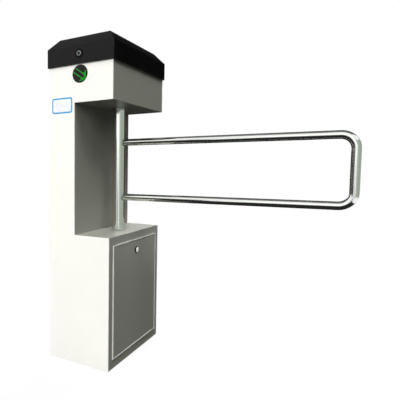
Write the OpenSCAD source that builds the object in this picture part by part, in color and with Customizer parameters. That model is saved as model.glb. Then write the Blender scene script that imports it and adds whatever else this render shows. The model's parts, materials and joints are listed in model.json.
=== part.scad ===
// Swing barrier gate: a C-shaped sheet cabinet with a lid and a service door,
// and a tube arm that swings about a vertical shaft between base and head.
// Origin: centre of the base's footprint at the floor. +X points along the arm
// at rest, -Y is the white front, +Z is up. Lengths are in millimetres.

/* [Cabinet] */
// Height from the floor to the flat top of the lid
overall_h = 1000; // [960:5:1100]
// Depth from the front fascia to the back fascia
cabinet_d = 360; // [350:5:420]
// Width of the base
base_w = 212; // [206:2:250]
// Width of the head
head_w = 222; // [216:2:260]
// Width of the column
column_w = 91; // [80:1:96]
// Height of the base's top face
base_h = 402; // [395:1:430]
// Height of the head, from its underside to the flat top of the lid
head_h = 198; // [190:1:220]
// Thickness of the folded sheet
sheet = 2.5; // [1.5:0.1:3]
// Width of the folded flanges
flange_w = 20; // [14:1:24]

/* [Lid] */
// Height of the lid's upright skirt
skirt_h = 55; // [50:1:65]
// Height of the lid's bevel
bevel_h = 32; // [20:1:40]
// How far the bevel leans inward
bevel_in = 28; // [15:1:40]
// How far the lid stands out past the walls
overhang = 5; // [4:0.5:8]
// Thickness of the lid's sheet
lid_sheet = 2; // [1.5:0.1:2.5]
// How far the walls stand up inside the skirt
rim_h = 14; // [10:1:15]
// Thickness of the seal on the rim
gasket_h = 3; // [2:0.5:4]
// Width of the seal on the rim
gasket_w = 5; // [3:0.5:7]
// Width of the ledge frame inside the skirt
ledge_w = 12; // [8:1:13]
// Space between the closed ledge and the seal
gasket_gap = 0.3; // [0.2:0.1:0.6]

/* [Door] */
// Distance of the door's side edges from the fascias' faces
door_side = 29; // [27:1:50]
// Distance of the door's upper edge below the base's top face
door_down = 30; // [28:1:36]
// Height of the door's lower edge
door_z = 33; // [30:1:35]
// Depth of the door's folded edge
door_depth = 15; // [12:1:18]
// How far the door's face stands out past the side wall
door_proud = 2; // [1.5:0.5:3]
// Thickness of the door's sheet
door_sheet = 2; // [1.5:0.1:2.5]
// Chamfer round the door's face
door_chamfer = 1; // [0.5:0.1:1.4]
// Width of the rubber seal round the door
seal_w = 3.5; // [3:0.5:4]
// Depth of the rubber seal
seal_depth = 9; // [6:1:12]
// How far the seal stands out past the side wall
seal_proud = 3; // [2:0.1:3.5]
// Space between the door's edge and the seal
door_gap = 1.2; // [1.1:0.1:1.5]
// Depth of the folded edge round the door opening
return_depth = 16; // [12:1:16]
// Height of the hinge axis above the door's lower edge
hinge_up = 20; // [20:1:28]
// Distance of the hinge axis behind the door's face
hinge_in = 6; // [5.5:0.5:7]
// Diameter of the door's hinge pins
hinge_pin_d = 5; // [4:0.5:5]

/* [Arm] */
// Distance of the swing axis from the base's right face
axis_from_right = 65; // [63:1:67]
// Distance from the swing axis to the arm's end upright
arm_reach = 654; // [450:10:900]
// Distance of the lower rail's centreline above the base
arm_low_up = 110; // [70:1:150]
// Distance of the upper rail's centreline below the head
arm_high_down = 112; // [70:1:150]
// Outside diameter of the arm's tube
arm_od = 22; // [18:1:30]
// Wall of the arm's tube
arm_wall = 2; // [1:0.1:3]
// Centreline radius of the arm's two bends
arm_bend_r = 34; // [28:1:50]

/* [Shaft] */
// Outside diameter of the polished upright tube
post_od = 40; // [38:1:44]
// Wall of the upright tube
post_wall = 3; // [2:0.5:4]
// Diameter of the steel shaft inside it
shaft_d = 25; // [20:1:25]
// Height of the lower collar
lower_collar_h = 20; // [12:1:30]
// Height of the upper collar
upper_collar_h = 9; // [6:1:20]
// Wall of the two collars
collar_wall = 1; // [0.8:0.1:2]
// Space between a collar and the panel next to it
collar_gap = 1; // [0.5:0.1:2]
// Height of the plugs that centre the shaft in the tube
plug_h = 18; // [10:1:30]

/* [Bearings] */
// Outside diameter of the ball bearings
bearing_od = 52; // [47:1:54]
// Width of the ball bearings
bearing_w = 15; // [12:1:16]
// Diameter of the housing round a bearing
housing_d = 66; // [64:1:68]
// Height of a bearing housing
housing_h = 21; // [19:1:24]
// Thickness of a housing's flange
housing_flange_t = 12; // [8:1:14]
// Spacing of a housing's two bolts
housing_bolt_span = 99; // [92:1:106]
// Diameter of the housing bolts
housing_bolt_d = 10; // [8:1:12]

/* [Drive] */
// Distance of the drive plate's underside below the base's top face
drive_down = 132; // [128:1:150]
// Thickness of the drive plate
drive_plate_t = 8; // [6:1:10]
// Module of the gear teeth
gear_module = 1.75; // [1.7:0.01:1.8]
// Number of teeth on the shaft's gear
gear_teeth = 54; // [52:1:55]
// Number of teeth on the motor's pinion
pinion_teeth = 18; // [18:1:20]
// Width of the gear's teeth
gear_face = 16; // [10:1:18]
// Side of the square gearbox
gearbox_side = 54; // [48:1:54]
// Height of the gearbox
gearbox_h = 48; // [40:1:60]
// Diameter of the motor
motor_d = 52; // [42:1:54]
// Length of the motor
motor_l = 100; // [70:5:120]
// Diameter of the holding brake under the motor
brake_d = 46; // [40:1:50]
// Length of the holding brake
brake_l = 26; // [20:1:35]
// Diameter of the gearbox's output shaft
output_d = 12; // [10:1:14]
// Diameter of the posts that carry the drive plate
post_d = 16; // [12:1:20]

/* [Stops and sensors] */
// Greatest swing to either side of the rest position, in degrees
swing = 90; // [80:1:95]
// Radius at which the stop lever meets its buffers
stop_r = 62; // [60:1:66]
// Half width of the stop lever
lever_half_w = 7; // [5:0.5:9]
// Diameter of the rubber buffers
buffer_d = 20; // [18:1:22]
// Diameter of the posts inside the buffers
buffer_post_d = 12; // [10:1:12]
// Diameter of the position disc
disc_d = 80; // [70:1:84]
// Diameter of the proximity sensors
sensor_d = 8; // [6:1:10]
// Length of the proximity sensors
sensor_l = 34; // [28:1:40]

/* [Indicators] */
// Diameter of the round indicator
indicator_d = 53; // [45:1:54]
// How far the indicator stands out of the fascia
indicator_proud = 0.6; // [0.4:0.1:1.5]
// Distance of the indicator's centre below the lid's lower edge
indicator_down = 28; // [28:1:40]
// Depth of the indicator's housing behind the fascia
indicator_depth = 24; // [18:1:30]

/* [Locks] */
// Diameter of the door lock's head
door_lock_head_d = 20; // [19:1:24]
// Distance of the door lock below the door's upper edge
door_lock_down = 30; // [26:1:36]
// Height of the door lock's head
door_lock_head_h = 4; // [3:0.5:6]
// Diameter of the lid lock's head
lid_lock_head_d = 16; // [15:1:18]
// Diameter of the dark ring round the lid lock
rosette_d = 26; // [24:1:28]
// Height of the lid lock above the lid's lower edge
lid_lock_up = 30; // [29:1:32]

/* [Floor fixing] */
// Distance of the anchor holes from the base's side faces
anchor_in_x = 31; // [26:1:40]
// Distance of the anchor holes from the fascias' faces
anchor_in_y = 25; // [20:1:30]
// Diameter of the anchor holes
anchor_d = 14; // [10:1:16]
// Thickness of the base plate
base_plate_t = 8; // [6:1:12]
// Diameter of the cable entry
cable_entry_d = 50; // [40:1:60]

/* [Hidden] */
$fn = 64;
// How far a cut runs past the face it opens
over = 1;
// Radial clearance of a shaft in its bore
run_fit = 0.05;
// Radial clearance of a fixed piece in its hole
seat_fit = 0.1;

// Places on the cabinet
left_x = -base_w / 2;
base_right = base_w / 2;
head_right = left_x + head_w;
head_mid_x = (left_x + head_right) / 2;
column_right = left_x + column_w;
axis_x = base_right - axis_from_right;
front_y = -cabinet_d / 2;
inner_y = cabinet_d / 2 - sheet;
head_z = overall_h - head_h;
recess_h = head_z - base_h;
lid_z = overall_h - skirt_h - bevel_h;
rim_z = lid_z + rim_h;
// End of a panel's flange where it meets the next panel's flange
flange_gap = 1;

// Lid and its ledge frame
lid_x0 = left_x - overhang;
lid_x1 = head_right + overhang;
lid_y = cabinet_d / 2 + overhang;
ledge_z = rim_z + gasket_h + gasket_gap;
ledge_t = 2;
bevel_len = sqrt(bevel_in * bevel_in + bevel_h * bevel_h);

// Door opening and hinge
door_w = cabinet_d - 2 * door_side;
door_h = base_h - door_down - door_z;
door_face_x = base_right + door_proud;
opening_half = door_w / 2 + door_gap + seal_w;
opening_z0 = door_z - door_gap - seal_w;
opening_z1 = door_z + door_h + door_gap + seal_w;
hinge_x = door_face_x - hinge_in;
hinge_z = door_z + hinge_up;
pin_head_d = hinge_pin_d + 2;
pin_head_h = 2;
pin_space = 0.3;

// Arm's rails
arm_low_z = base_h + arm_low_up;
arm_high_z = head_z - arm_high_down;

// Upright tube and shaft
tube_z0 = base_h + collar_gap;
tube_z1 = head_z - collar_gap;
drive_plate_z = base_h - drive_down;
bearing_lip = 3;
lower_bearing_top = drive_plate_z - bearing_lip;
upper_bearing_z = head_z + sheet + bearing_lip;
shaft_tail = 8;
shaft_z0 = lower_bearing_top - bearing_w - shaft_tail;
shaft_z1 = upper_bearing_z + bearing_w + shaft_tail;
circlip_t = 1.5;
circlip_wall = 4;
circlip_space = 0.3;

// Stack on the shaft above the drive plate
drive_plate_top = drive_plate_z + drive_plate_t;
sleeve_wall = 4.5;
sleeve_gap = 0.2;
sleeve_rise = 6;
gear_hub_d = 48;
gear_hub_low = 4;
gear_hub_high = 8;
gear_z = drive_plate_top + sleeve_rise + gear_hub_low;
gear_top = gear_z + gear_face + gear_hub_high;
disc_t = 3;
disc_hub_d = 40;
disc_hub_h = 8;
disc_space = 6;
disc_z = gear_top + disc_space;
disc_mid_z = disc_z + disc_hub_h / 2;
lever_t = 14;
lever_hub_d = 44;
lever_space = 10;
lever_z = disc_z + disc_hub_h + lever_space;
lever_tip = 5;
stop_space = 0.5;
buffer_margin = 1;
stop_angle = 180 - swing - asin((lever_half_w + buffer_d / 2 + stop_space) / stop_r);

// Gear pair
pressure_angle = 20;
backlash = 0.14;
tip_relief_share = 0.04;
root_share = 1.25;
flank_steps = 4;
gear_pitch_r = gear_module * gear_teeth / 2;
pinion_pitch_r = gear_module * pinion_teeth / 2;
pinion_x = axis_x - gear_pitch_r - pinion_pitch_r;
pinion_margin = 2;
gear_hole_count = 8;
key_w = 8;
key_h = 7;
pinion_key_w = 4;
pinion_key_h = 4;

// Drive plate and its posts
plate_side_gap = 8;
door_room = 23;
plate_end_gap = 40;
plate_x0 = left_x + sheet + plate_side_gap;
plate_x1 = base_right - door_room;
plate_y = cabinet_d / 2 - plate_end_gap;
post_inset = 14;
post_xs = [plate_x0 + post_inset, plate_x1 - post_inset];
post_y = plate_y - post_inset;
shaft_hole_d = 42;
pinion_hole_d = 38;
screw_d = 6;
screw_head_d = 10;
screw_head_h = 5;
hex_key_d = 5;
hex_key_deep = 3;
bolt_head_d_share = 1.9;
bolt_head_h_share = 0.65;
motor_bolt_inset = 7;
motor_rib_count = 8;

// Sensors and their bracket
bracket_t = 3;
bracket_leg_w = 18;
bracket_half = 44;
bracket_foot = 14;
bracket_back = 61;
sensor_pitch = 22;
sensor_space = 1.5;
sensor_face = 1;
sensor_nut_d = 13;
sensor_nut_t = 3;

// Locks: barrel, plug, nut and cam
lock_body_d = 14;
lock_body_l = 18;
plug_d = 10;
plug_sunk = 0.6;
nut_af = 19;
nut_t = 3;
cam_w = 12;
cam_t = 2.5;
cam_screw_h = 2;
cam_back = 7;
cam_space = 0.5;
door_cam_l = 42;
lid_cam_l = 26;
key_slot_w = 1.6;
key_slot_l = 6;
key_slot_deep = 8;
rosette_t = 1.5;
door_lock_z = door_z + door_h - door_lock_down;
lid_lock_z = lid_z + lid_lock_up;
// Catch that the lid's cam turns under
catch_in = 14;
catch_w = 18;
catch_foot = 12;
catch_reach = 17;
catch_space = 2;

// Lid hinges
leaf_t = 2;
leaf_w = 44;
leaf_h = 26;
knuckle_d = 8;
knuckle_gap = 0.5;
lid_pin_d = 4;
lid_hinge_drop = 2;
lid_hinge_out = 0.5;
lid_hinge_y = lid_y + lid_hinge_out + knuckle_d / 2;
lid_hinge_z = lid_z - lid_hinge_drop;
lid_hinge_span = 120;

// Indicators
indicator_z = lid_z - indicator_down;
housing_lip = 3.5;
housing_wall = 2;
cup_inner_d = indicator_d - 2 * housing_lip;
board_t = 1.6;
board_back = 9;
led_d = 4;
led_h = 2;
led_pitch = 8;
led_rows = 2;

// Electrics in the base
rail_w = 35;
rail_lip = 5;
rail_t = 1;
rail_deep = 7.5;
rail_space = 10;
rail_half = post_y - post_d / 2 - rail_space;
rail_z = 170;
rail_x = left_x + sheet + rail_deep;
terminal_w = 6;
terminal_count = 9;
terminal_h = 44;
terminal_deep = 36;
terminal_space = 14;
terminal_y = terminal_space + post_d / 2 - post_y;
breaker_w = 18;
breaker_h = 82;
breaker_deep = 42;
breaker_nose_deep = 16;
breaker_nose_h = 45;
device_gap = 2;
breaker_y = terminal_y + terminal_count * terminal_w + device_gap;
supply_w = 56;
supply_h = 92;
supply_deep = 44;
supply_space = 14;
supply_y = post_y - post_d / 2 - supply_space - supply_w;
slot_w = 2.5;
slot_l = 26;
slot_pitch = 6;
slot_count = 6;
slot_deep = 1.5;

// Control board in the head
board_w = 96;
board_d = 78;
board_up = 10;
board_margin = 5;
board_y = inner_y - sheet - board_margin - board_d / 2;
board_x = (column_right + head_right) / 2;
board_hole_in = 5;
board_hole_x = board_w / 2 - board_hole_in;
board_hole_y = board_d / 2 - board_hole_in;
standoff_d = 7;
relay_w = 19;
relay_d = 15;
relay_h = 16;
relay_pitch = 23;
connector_w = 60;
connector_d = 9;
connector_h = 11;
chip_w = 22;
chip_h = 3;
capacitor_d = 12;
capacitor_h = 20;

grommet_wall = 5;
grommet_lip = 3;
grommet_lip_h = 3;
bush_wall = 3.5;
bush_flange_w = 4;
bush_flange_t = 2;

// Block between two corners, each given as [low, high]
module block(x, y, z) {
    translate([x[0], y[0], z[0]])
        cube([x[1] - x[0], y[1] - y[0], z[1] - z[0]]);
}

// Upright ring or disc between two heights
module ring(outer_d, inner_d, z0, z1) {
    translate([0, 0, z0])
        difference() {
            cylinder(d = outer_d, h = z1 - z0);
            if (inner_d > 0)
                translate([0, 0, -over])
                    cylinder(d = inner_d, h = z1 - z0 + 2 * over);
        }
}

// Folded channel seen from its end: a web along Y with a leg at each end
module channel_profile(width, leg, t) {
    translate([0, -width / 2 + t])
        square([t, width - 2 * t]);
    for (side = [0, 1])
        mirror([0, side])
            translate([t, width / 2 - t]) {
                square([leg - t, t]);
                intersection() {
                    circle(r = t);
                    translate([-t, 0])
                        square(t);
                }
            }
}

// Frame of a given width inside a rectangle
module frame_2d(x, y, w) {
    difference() {
        translate([x[0], y[0]])
            square([x[1] - x[0], y[1] - y[0]]);
        translate([x[0] + w, y[0] + w])
            square([x[1] - x[0] - 2 * w, y[1] - y[0] - 2 * w]);
    }
}

// Lies a YZ outline upright, from x0 to x1
module along_x(x0, x1) {
    translate([x0, 0, 0])
        rotate([90, 0, 90])
            linear_extrude(x1 - x0)
                children();
}

// Lies an XZ outline upright, from y0 to y1
module along_y(y0, y1) {
    translate([0, y1, 0])
        rotate([90, 0, 0])
            linear_extrude(y1 - y0)
                children();
}

// Side view of the lid between two edges, drawn inward by wall t
module lid_profile(a, b, t) {
    top_z = overall_h - t;
    line_x = t * bevel_h / bevel_len;
    line_z = lid_z + skirt_h - t * bevel_in / bevel_len;
    knee_z = line_z + (t - line_x) * bevel_h / bevel_in;
    top_in = line_x + (top_z - line_z) * bevel_in / bevel_h;
    foot_z = t > 0 ? lid_z - over : lid_z;
    polygon([[a + t, foot_z], [b - t, foot_z], [b - t, knee_z],
        [b - top_in, top_z], [a + top_in, top_z], [a + t, knee_z]]);
}

// Hipped block that the lid's outside and its hollow share
module lid_block(t) {
    intersection() {
        along_y(-lid_y - over, lid_y + over)
            lid_profile(lid_x0, lid_x1, t);
        along_x(lid_x0 - over, lid_x1 + over)
            lid_profile(-lid_y, lid_y, t);
    }
}

// C-shaped outline of the front and back
module fascia_outline() {
    polygon([[left_x, 0], [base_right, 0], [base_right, base_h],
        [column_right, base_h], [column_right, head_z], [head_right, head_z],
        [head_right, rim_z], [left_x, rim_z]]);
}

module fascia(y0, y1) {
    difference() {
        along_y(y0, y1)
            fascia_outline();
        translate([head_mid_x, y0 - over, indicator_z])
            rotate([-90, 0, 0])
                cylinder(d = indicator_d + 2 * seat_fit, h = y1 - y0 + 2 * over);
    }
}

module front_fascia() {
    color("floralwhite")
        fascia(front_y, -inner_y);
}

module back_fascia() {
    color("floralwhite")
        fascia(inner_y, cabinet_d / 2);
}

module left_side_panel() {
    color("dimgray")
        translate([left_x, 0, 0])
            linear_extrude(rim_z)
                channel_profile(2 * inner_y, flange_w, sheet);
}

module recess_panel() {
    color("dimgray")
        translate([column_right, 0, base_h])
            mirror([1, 0, 0])
                linear_extrude(recess_h)
                    channel_profile(2 * inner_y, flange_w, sheet);
}

module head_side_panel() {
    color("dimgray")
        difference() {
            translate([head_right, 0, head_z])
                mirror([1, 0, 0])
                    linear_extrude(rim_z - head_z)
                        channel_profile(2 * inner_y, flange_w, sheet);
            block([head_right - flange_w - over, head_right - sheet],
                [-inner_y - over, inner_y + over], [head_z - over, head_z + sheet]);
        }
}

module base_side_panel() {
    color("dimgray")
        difference() {
            union() {
                difference() {
                    translate([base_right, 0, 0])
                        mirror([1, 0, 0])
                            linear_extrude(base_h)
                                channel_profile(2 * inner_y, flange_w, sheet);
                    block([base_right - flange_w - over, base_right - sheet],
                        [-inner_y - over, inner_y + over],
                        [base_h - sheet, base_h + over]);
                    block([base_right - sheet - over, base_right + over],
                        [-opening_half, opening_half], [opening_z0, opening_z1]);
                }
                along_x(base_right - return_depth, base_right)
                    frame_2d([-opening_half - sheet, opening_half + sheet],
                        [opening_z0 - sheet, opening_z1 + sheet], sheet);
            }
            door_pin_holes(hinge_pin_d);
        }
}

// Bores for both hinge pins, right through the opening's edge
module door_pin_holes(d) {
    translate([hinge_x, 0, hinge_z])
        rotate([90, 0, 0])
            cylinder(d = d, h = 2 * (opening_half + sheet + over), center = true);
}

module base_top_panel() {
    color("darkgray")
        difference() {
            translate([column_right - sheet, 0, base_h])
                rotate([0, 90, 0])
                    linear_extrude(base_right - column_right)
                        channel_profile(2 * inner_y, flange_w, sheet);
            block([base_right - flange_w - flange_gap, base_right],
                [-inner_y - over, inner_y + over],
                [base_h - flange_w - over, base_h - sheet]);
            translate([axis_x, 0, base_h - sheet - over])
                cylinder(d = shaft_d + 2 * (run_fit + bush_wall + seat_fit),
                    h = sheet + 2 * over);
        }
}

module head_floor_panel() {
    bolt_d = housing_bolt_d + 2 * seat_fit;
    color("dimgray")
        difference() {
            translate([head_right - sheet, 0, head_z])
                rotate([0, -90, 0])
                    linear_extrude(head_right - column_right)
                        channel_profile(2 * inner_y, flange_w, sheet);
            block([head_right - flange_w - flange_gap, head_right],
                [-inner_y - over, inner_y + over],
                [head_z + sheet, head_z + flange_w + over]);
            translate([axis_x, 0, head_z - over])
                cylinder(d = shaft_d + 2 * bush_wall, h = sheet + 2 * over);
            for (side = [-1, 1])
                translate([axis_x, side * housing_bolt_span / 2, head_z - over])
                    cylinder(d = bolt_d, h = sheet + 2 * over);
        }
}

module base_plate() {
    color("gray")
        difference() {
            block([left_x + sheet, base_right - sheet],
                [-inner_y + sheet, inner_y - sheet], [0, base_plate_t]);
            for (x = [left_x + anchor_in_x, base_right - anchor_in_x])
                for (y = [front_y + anchor_in_y, -front_y - anchor_in_y])
                    translate([x, y, -over])
                        cylinder(d = anchor_d, h = base_plate_t + 2 * over);
            translate([0, 0, -over])
                cylinder(d = cable_entry_d + 2 * grommet_wall,
                    h = base_plate_t + 2 * over);
        }
}

module cable_grommet() {
    color("black")
        difference() {
            union() {
                cylinder(d = cable_entry_d + 2 * grommet_wall, h = base_plate_t);
                translate([0, 0, base_plate_t])
                    cylinder(d = cable_entry_d + 2 * (grommet_wall + grommet_lip),
                        h = grommet_lip_h);
            }
            translate([0, 0, -over])
                cylinder(d = cable_entry_d,
                    h = base_plate_t + grommet_lip_h + 2 * over);
        }
}

module rim_gasket() {
    color("black")
        difference() {
            translate([0, 0, rim_z])
                linear_extrude(gasket_h)
                    frame_2d([left_x, head_right], [front_y, -front_y], gasket_w);
            catch_clearance();
        }
}

// Space round the catch's upright where it passes the seal and the ledge
module catch_clearance() {
    x0 = head_mid_x + catch_in;
    block([x0 - catch_space, x0 + catch_w + catch_space],
        [-inner_y - run_fit, -inner_y + catch_reach + over],
        [rim_z - over, ledge_z + ledge_t + over]);
}

module lid_catch() {
    x = [head_mid_x + catch_in, head_mid_x + catch_in + catch_w];
    lip_z = lid_lock_z + cam_w / 2 + catch_space;
    color("silver") {
        block(x, [-inner_y, -inner_y + leaf_t], [rim_z - catch_foot, lip_z + leaf_t]);
        block(x, [-inner_y + leaf_t, -inner_y + catch_reach], [lip_z, lip_z + leaf_t]);
    }
}

module lid_shell() {
    color("#222222")
        difference() {
            lid_block(0);
            lid_block(lid_sheet);
            lid_lock_place()
                translate([0, 0, -lock_body_l])
                    cylinder(d = lock_body_d + 2 * seat_fit, h = 2 * lock_body_l);
        }
}

module lid_ledge_frame() {
    color("#222222")
        difference() {
            translate([0, 0, ledge_z])
                linear_extrude(ledge_t)
                    frame_2d([lid_x0 + lid_sheet, lid_x1 - lid_sheet],
                        [-lid_y + lid_sheet, lid_y - lid_sheet], ledge_w);
            catch_clearance();
        }
}

// Local frame of a lock: +Z points out of the panel, +X along the cam at rest
module lid_lock_place() {
    translate([head_mid_x, -lid_y, lid_lock_z])
        rotate([90, 90, 0])
            children();
}

module door_lock_place() {
    translate([door_face_x, 0, door_lock_z])
        rotate([90, 0, 90])
            children();
}

// Barrel of a cam lock with a rounded head and a bore for the plug
module lock_barrel(head_d, head_h) {
    edge = head_h / 2;
    difference() {
        rotate_extrude()
            union() {
                translate([0, -lock_body_l])
                    square([lock_body_d / 2, lock_body_l]);
                square([head_d / 2, head_h - edge]);
                square([head_d / 2 - edge, head_h]);
                translate([head_d / 2 - edge, head_h - edge])
                    circle(r = edge);
            }
        translate([0, 0, -lock_body_l - over])
            cylinder(d = plug_d + 2 * run_fit, h = lock_body_l + head_h + 2 * over);
    }
}

module lock_nut(panel_t) {
    translate([0, 0, -panel_t - nut_t])
        difference() {
            cylinder(d = nut_af / cos(180 / 6), h = nut_t, $fn = 6);
            translate([0, 0, -over])
                cylinder(d = lock_body_d, h = nut_t + 2 * over);
        }
}

module lock_plug(head_h) {
    top = head_h - plug_sunk;
    difference() {
        translate([0, 0, -lock_body_l - cam_space])
            cylinder(d = plug_d, h = lock_body_l + cam_space + top);
        translate([-key_slot_l / 2, -key_slot_w / 2, top - key_slot_deep])
            cube([key_slot_l, key_slot_w, key_slot_deep + over]);
    }
}

// Cam with its screw head behind it
module lock_cam(length) {
    translate([0, 0, -lock_body_l - cam_space - cam_t]) {
        linear_extrude(cam_t) {
            translate([0, -cam_w / 2])
                square([length - cam_w / 2, cam_w]);
            translate([length - cam_w / 2, 0])
                circle(d = cam_w);
            circle(r = cam_back);
        }
        translate([0, 0, -cam_screw_h])
            cylinder(d = plug_d, h = cam_screw_h, $fn = 6);
    }
}

module door_panel() {
    z1 = door_z + door_h;
    color("dimgray")
        difference() {
            chamfered_pan();
            block([door_face_x - door_depth - over, door_face_x - door_sheet],
                [-door_w / 2 + door_sheet, door_w / 2 - door_sheet],
                [door_z + door_sheet, z1 - door_sheet]);
            door_pin_holes(hinge_pin_d + 2 * run_fit);
            door_lock_place()
                translate([0, 0, -door_sheet - over])
                    cylinder(d = lock_body_d + 2 * seat_fit,
                        h = door_sheet + 2 * over);
        }
}

// Closed block with a chamfer round its outer face
module chamfered_pan() {
    x0 = door_face_x - door_depth;
    x1 = door_face_x;
    z1 = door_z + door_h;
    c = door_chamfer;
    intersection() {
        linear_extrude(z1 + over)
            polygon([[x0, -door_w / 2], [x1 - c, -door_w / 2], [x1, c - door_w / 2],
                [x1, door_w / 2 - c], [x1 - c, door_w / 2], [x0, door_w / 2]]);
        along_y(-door_w / 2 - over, door_w / 2 + over)
            polygon([[x0, door_z], [x1 - c, door_z], [x1, door_z + c],
                [x1, z1 - c], [x1 - c, z1], [x0, z1]]);
    }
}

module door_seal() {
    color("gainsboro")
        difference() {
            along_x(base_right - seal_depth, base_right + seal_proud)
                frame_2d([-opening_half, opening_half], [opening_z0, opening_z1],
                    seal_w);
            door_pin_holes(hinge_pin_d);
        }
}

// Two headed pins under the door and one through each lid hinge
module hinge_pins() {
    shank_in = door_w / 2 - door_sheet - pin_space;
    shank_out = opening_half + sheet;
    color("silver") {
        for (side = [0, 1])
            mirror([0, side, 0])
                translate([hinge_x, shank_in, hinge_z])
                    rotate([-90, 0, 0]) {
                        cylinder(d = hinge_pin_d, h = shank_out - shank_in);
                        translate([0, 0, -pin_head_h])
                            cylinder(d = pin_head_d, h = pin_head_h);
                    }
        at_lid_hinges()
            translate([-leaf_w / 2, lid_hinge_y, lid_hinge_z])
                rotate([0, 90, 0])
                    cylinder(d = lid_pin_d, h = leaf_w);
    }
}

module door_lock_barrel() {
    color("silver")
        door_lock_place()
            lock_barrel(door_lock_head_d, door_lock_head_h);
}

module door_lock_nut() {
    color("silver")
        door_lock_place()
            lock_nut(door_sheet);
}

module door_lock_plug() {
    color("silver")
        door_lock_place()
            lock_plug(door_lock_head_h);
}

module door_lock_cam() {
    color("silver")
        door_lock_place()
            lock_cam(door_cam_l);
}

module lid_lock_rosette() {
    color("black")
        lid_lock_place()
            ring(rosette_d, lid_lock_head_d + 2 * seat_fit, 0, rosette_t);
}

module lid_lock_barrel() {
    color("silver")
        lid_lock_place()
            lock_barrel(lid_lock_head_d, 2 * rosette_t);
}

module lid_lock_nut() {
    color("silver")
        lid_lock_place()
            lock_nut(lid_sheet);
}

module lid_lock_plug() {
    color("silver")
        lid_lock_place()
            lock_plug(2 * rosette_t);
}

module lid_lock_cam() {
    color("silver")
        lid_lock_place()
            lock_cam(lid_cam_l);
}

// Puts a child at each lid hinge, its local X along the hinge axis
module at_lid_hinges() {
    for (side = [-1, 1])
        translate([head_mid_x + side * lid_hinge_span / 2, 0, 0])
            children();
}

// Knuckle tube on the hinge axis between two places along X
module knuckle(x0, x1) {
    translate([x0, lid_hinge_y, lid_hinge_z])
        rotate([0, 90, 0])
            difference() {
                cylinder(d = knuckle_d, h = x1 - x0);
                translate([0, 0, -over])
                    cylinder(d = lid_pin_d + 2 * run_fit, h = x1 - x0 + 2 * over);
            }
}

module lid_hinge_upper_leaves() {
    mid = leaf_w / 6;
    color("black")
        at_lid_hinges() {
            difference() {
                union() {
                    block([-leaf_w / 2, leaf_w / 2], [lid_y, lid_y + leaf_t],
                        [lid_z + leaf_t, lid_z + leaf_h]);
                    block([-mid + knuckle_gap, mid - knuckle_gap],
                        [lid_y, lid_hinge_y], [lid_hinge_z, lid_z + leaf_t]);
                }
                translate([0, lid_hinge_y, lid_hinge_z])
                    rotate([0, 90, 0])
                        cylinder(d = lid_pin_d + knuckle_gap, h = leaf_w,
                            center = true);
            }
            knuckle(-mid + knuckle_gap, mid - knuckle_gap);
        }
}

module lid_hinge_lower_leaves() {
    mid = leaf_w / 6;
    color("black")
        at_lid_hinges() {
            block([-leaf_w / 2, leaf_w / 2], [cabinet_d / 2, lid_y + leaf_t],
                [lid_z - leaf_h, lid_hinge_z - knuckle_d / 2 - leaf_t]);
            for (side = [0, 1])
                mirror([side, 0, 0]) {
                    difference() {
                        block([mid, leaf_w / 2], [lid_y, lid_hinge_y],
                            [lid_hinge_z - knuckle_d / 2 - leaf_t, lid_hinge_z]);
                        translate([0, lid_hinge_y, lid_hinge_z])
                            rotate([0, 90, 0])
                                cylinder(d = lid_pin_d + knuckle_gap, h = leaf_w,
                                    center = true);
                    }
                    knuckle(mid, leaf_w / 2);
                }
        }
}

// One rail, one bend and half of the end upright, as a solid of diameter d
module arm_half(z, turn, d) {
    end_x = axis_x + arm_reach;
    mid_z = (arm_low_z + arm_high_z) / 2;
    translate([axis_x, 0, z])
        rotate([0, 90, 0])
            cylinder(d = d, h = arm_reach - arm_bend_r);
    translate([end_x - arm_bend_r, 0, z + turn * arm_bend_r])
        rotate([90, 0, 0])
            rotate([0, 0, turn > 0 ? -90 : 0])
                rotate_extrude(angle = 90)
                    translate([arm_bend_r, 0])
                        circle(d = d);
    translate([end_x, 0, turn > 0 ? z + arm_bend_r : mid_z])
        cylinder(d = d, h = turn > 0 ? mid_z - z - arm_bend_r : z - arm_bend_r - mid_z);
}

module arm_tube() {
    color("silver")
        difference() {
            union() {
                arm_half(arm_low_z, 1, arm_od);
                arm_half(arm_high_z, -1, arm_od);
            }
            arm_half(arm_low_z, 1, arm_od - 2 * arm_wall);
            arm_half(arm_high_z, -1, arm_od - 2 * arm_wall);
            translate([axis_x, 0, arm_low_z - arm_od])
                cylinder(d = post_od, h = arm_high_z - arm_low_z + 2 * arm_od);
        }
}

module post_tube() {
    color("silver")
        translate([axis_x, 0, 0])
            ring(post_od, post_od - 2 * post_wall, tube_z0, tube_z1);
}

module post_plugs() {
    color("gray")
        translate([axis_x, 0, 0]) {
            ring(post_od - 2 * post_wall, shaft_d, tube_z0, tube_z0 + plug_h);
            ring(post_od - 2 * post_wall, shaft_d, tube_z1 - plug_h, tube_z1);
        }
}

module post_collars() {
    collar_d = post_od + 2 * collar_wall;
    color("silver")
        translate([axis_x, 0, 0]) {
            ring(collar_d, post_od, tube_z0, tube_z0 + lower_collar_h);
            ring(collar_d, post_od, tube_z1 - upper_collar_h, tube_z1);
        }
}

// Grooves of the two circlips, as rings from the shaft's skin inward
circlip_heights = [lower_bearing_top - bearing_w - circlip_space - circlip_t,
    upper_bearing_z + bearing_w + circlip_space];

module main_shaft() {
    color("gray")
        difference() {
            translate([axis_x, 0, shaft_z0])
                cylinder(d = shaft_d, h = shaft_z1 - shaft_z0);
            for (z = circlip_heights)
                translate([axis_x, 0, 0])
                    ring(shaft_d + over, shaft_d - circlip_t, z, z + circlip_t);
            shaft_key_space();
        }
}

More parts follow.
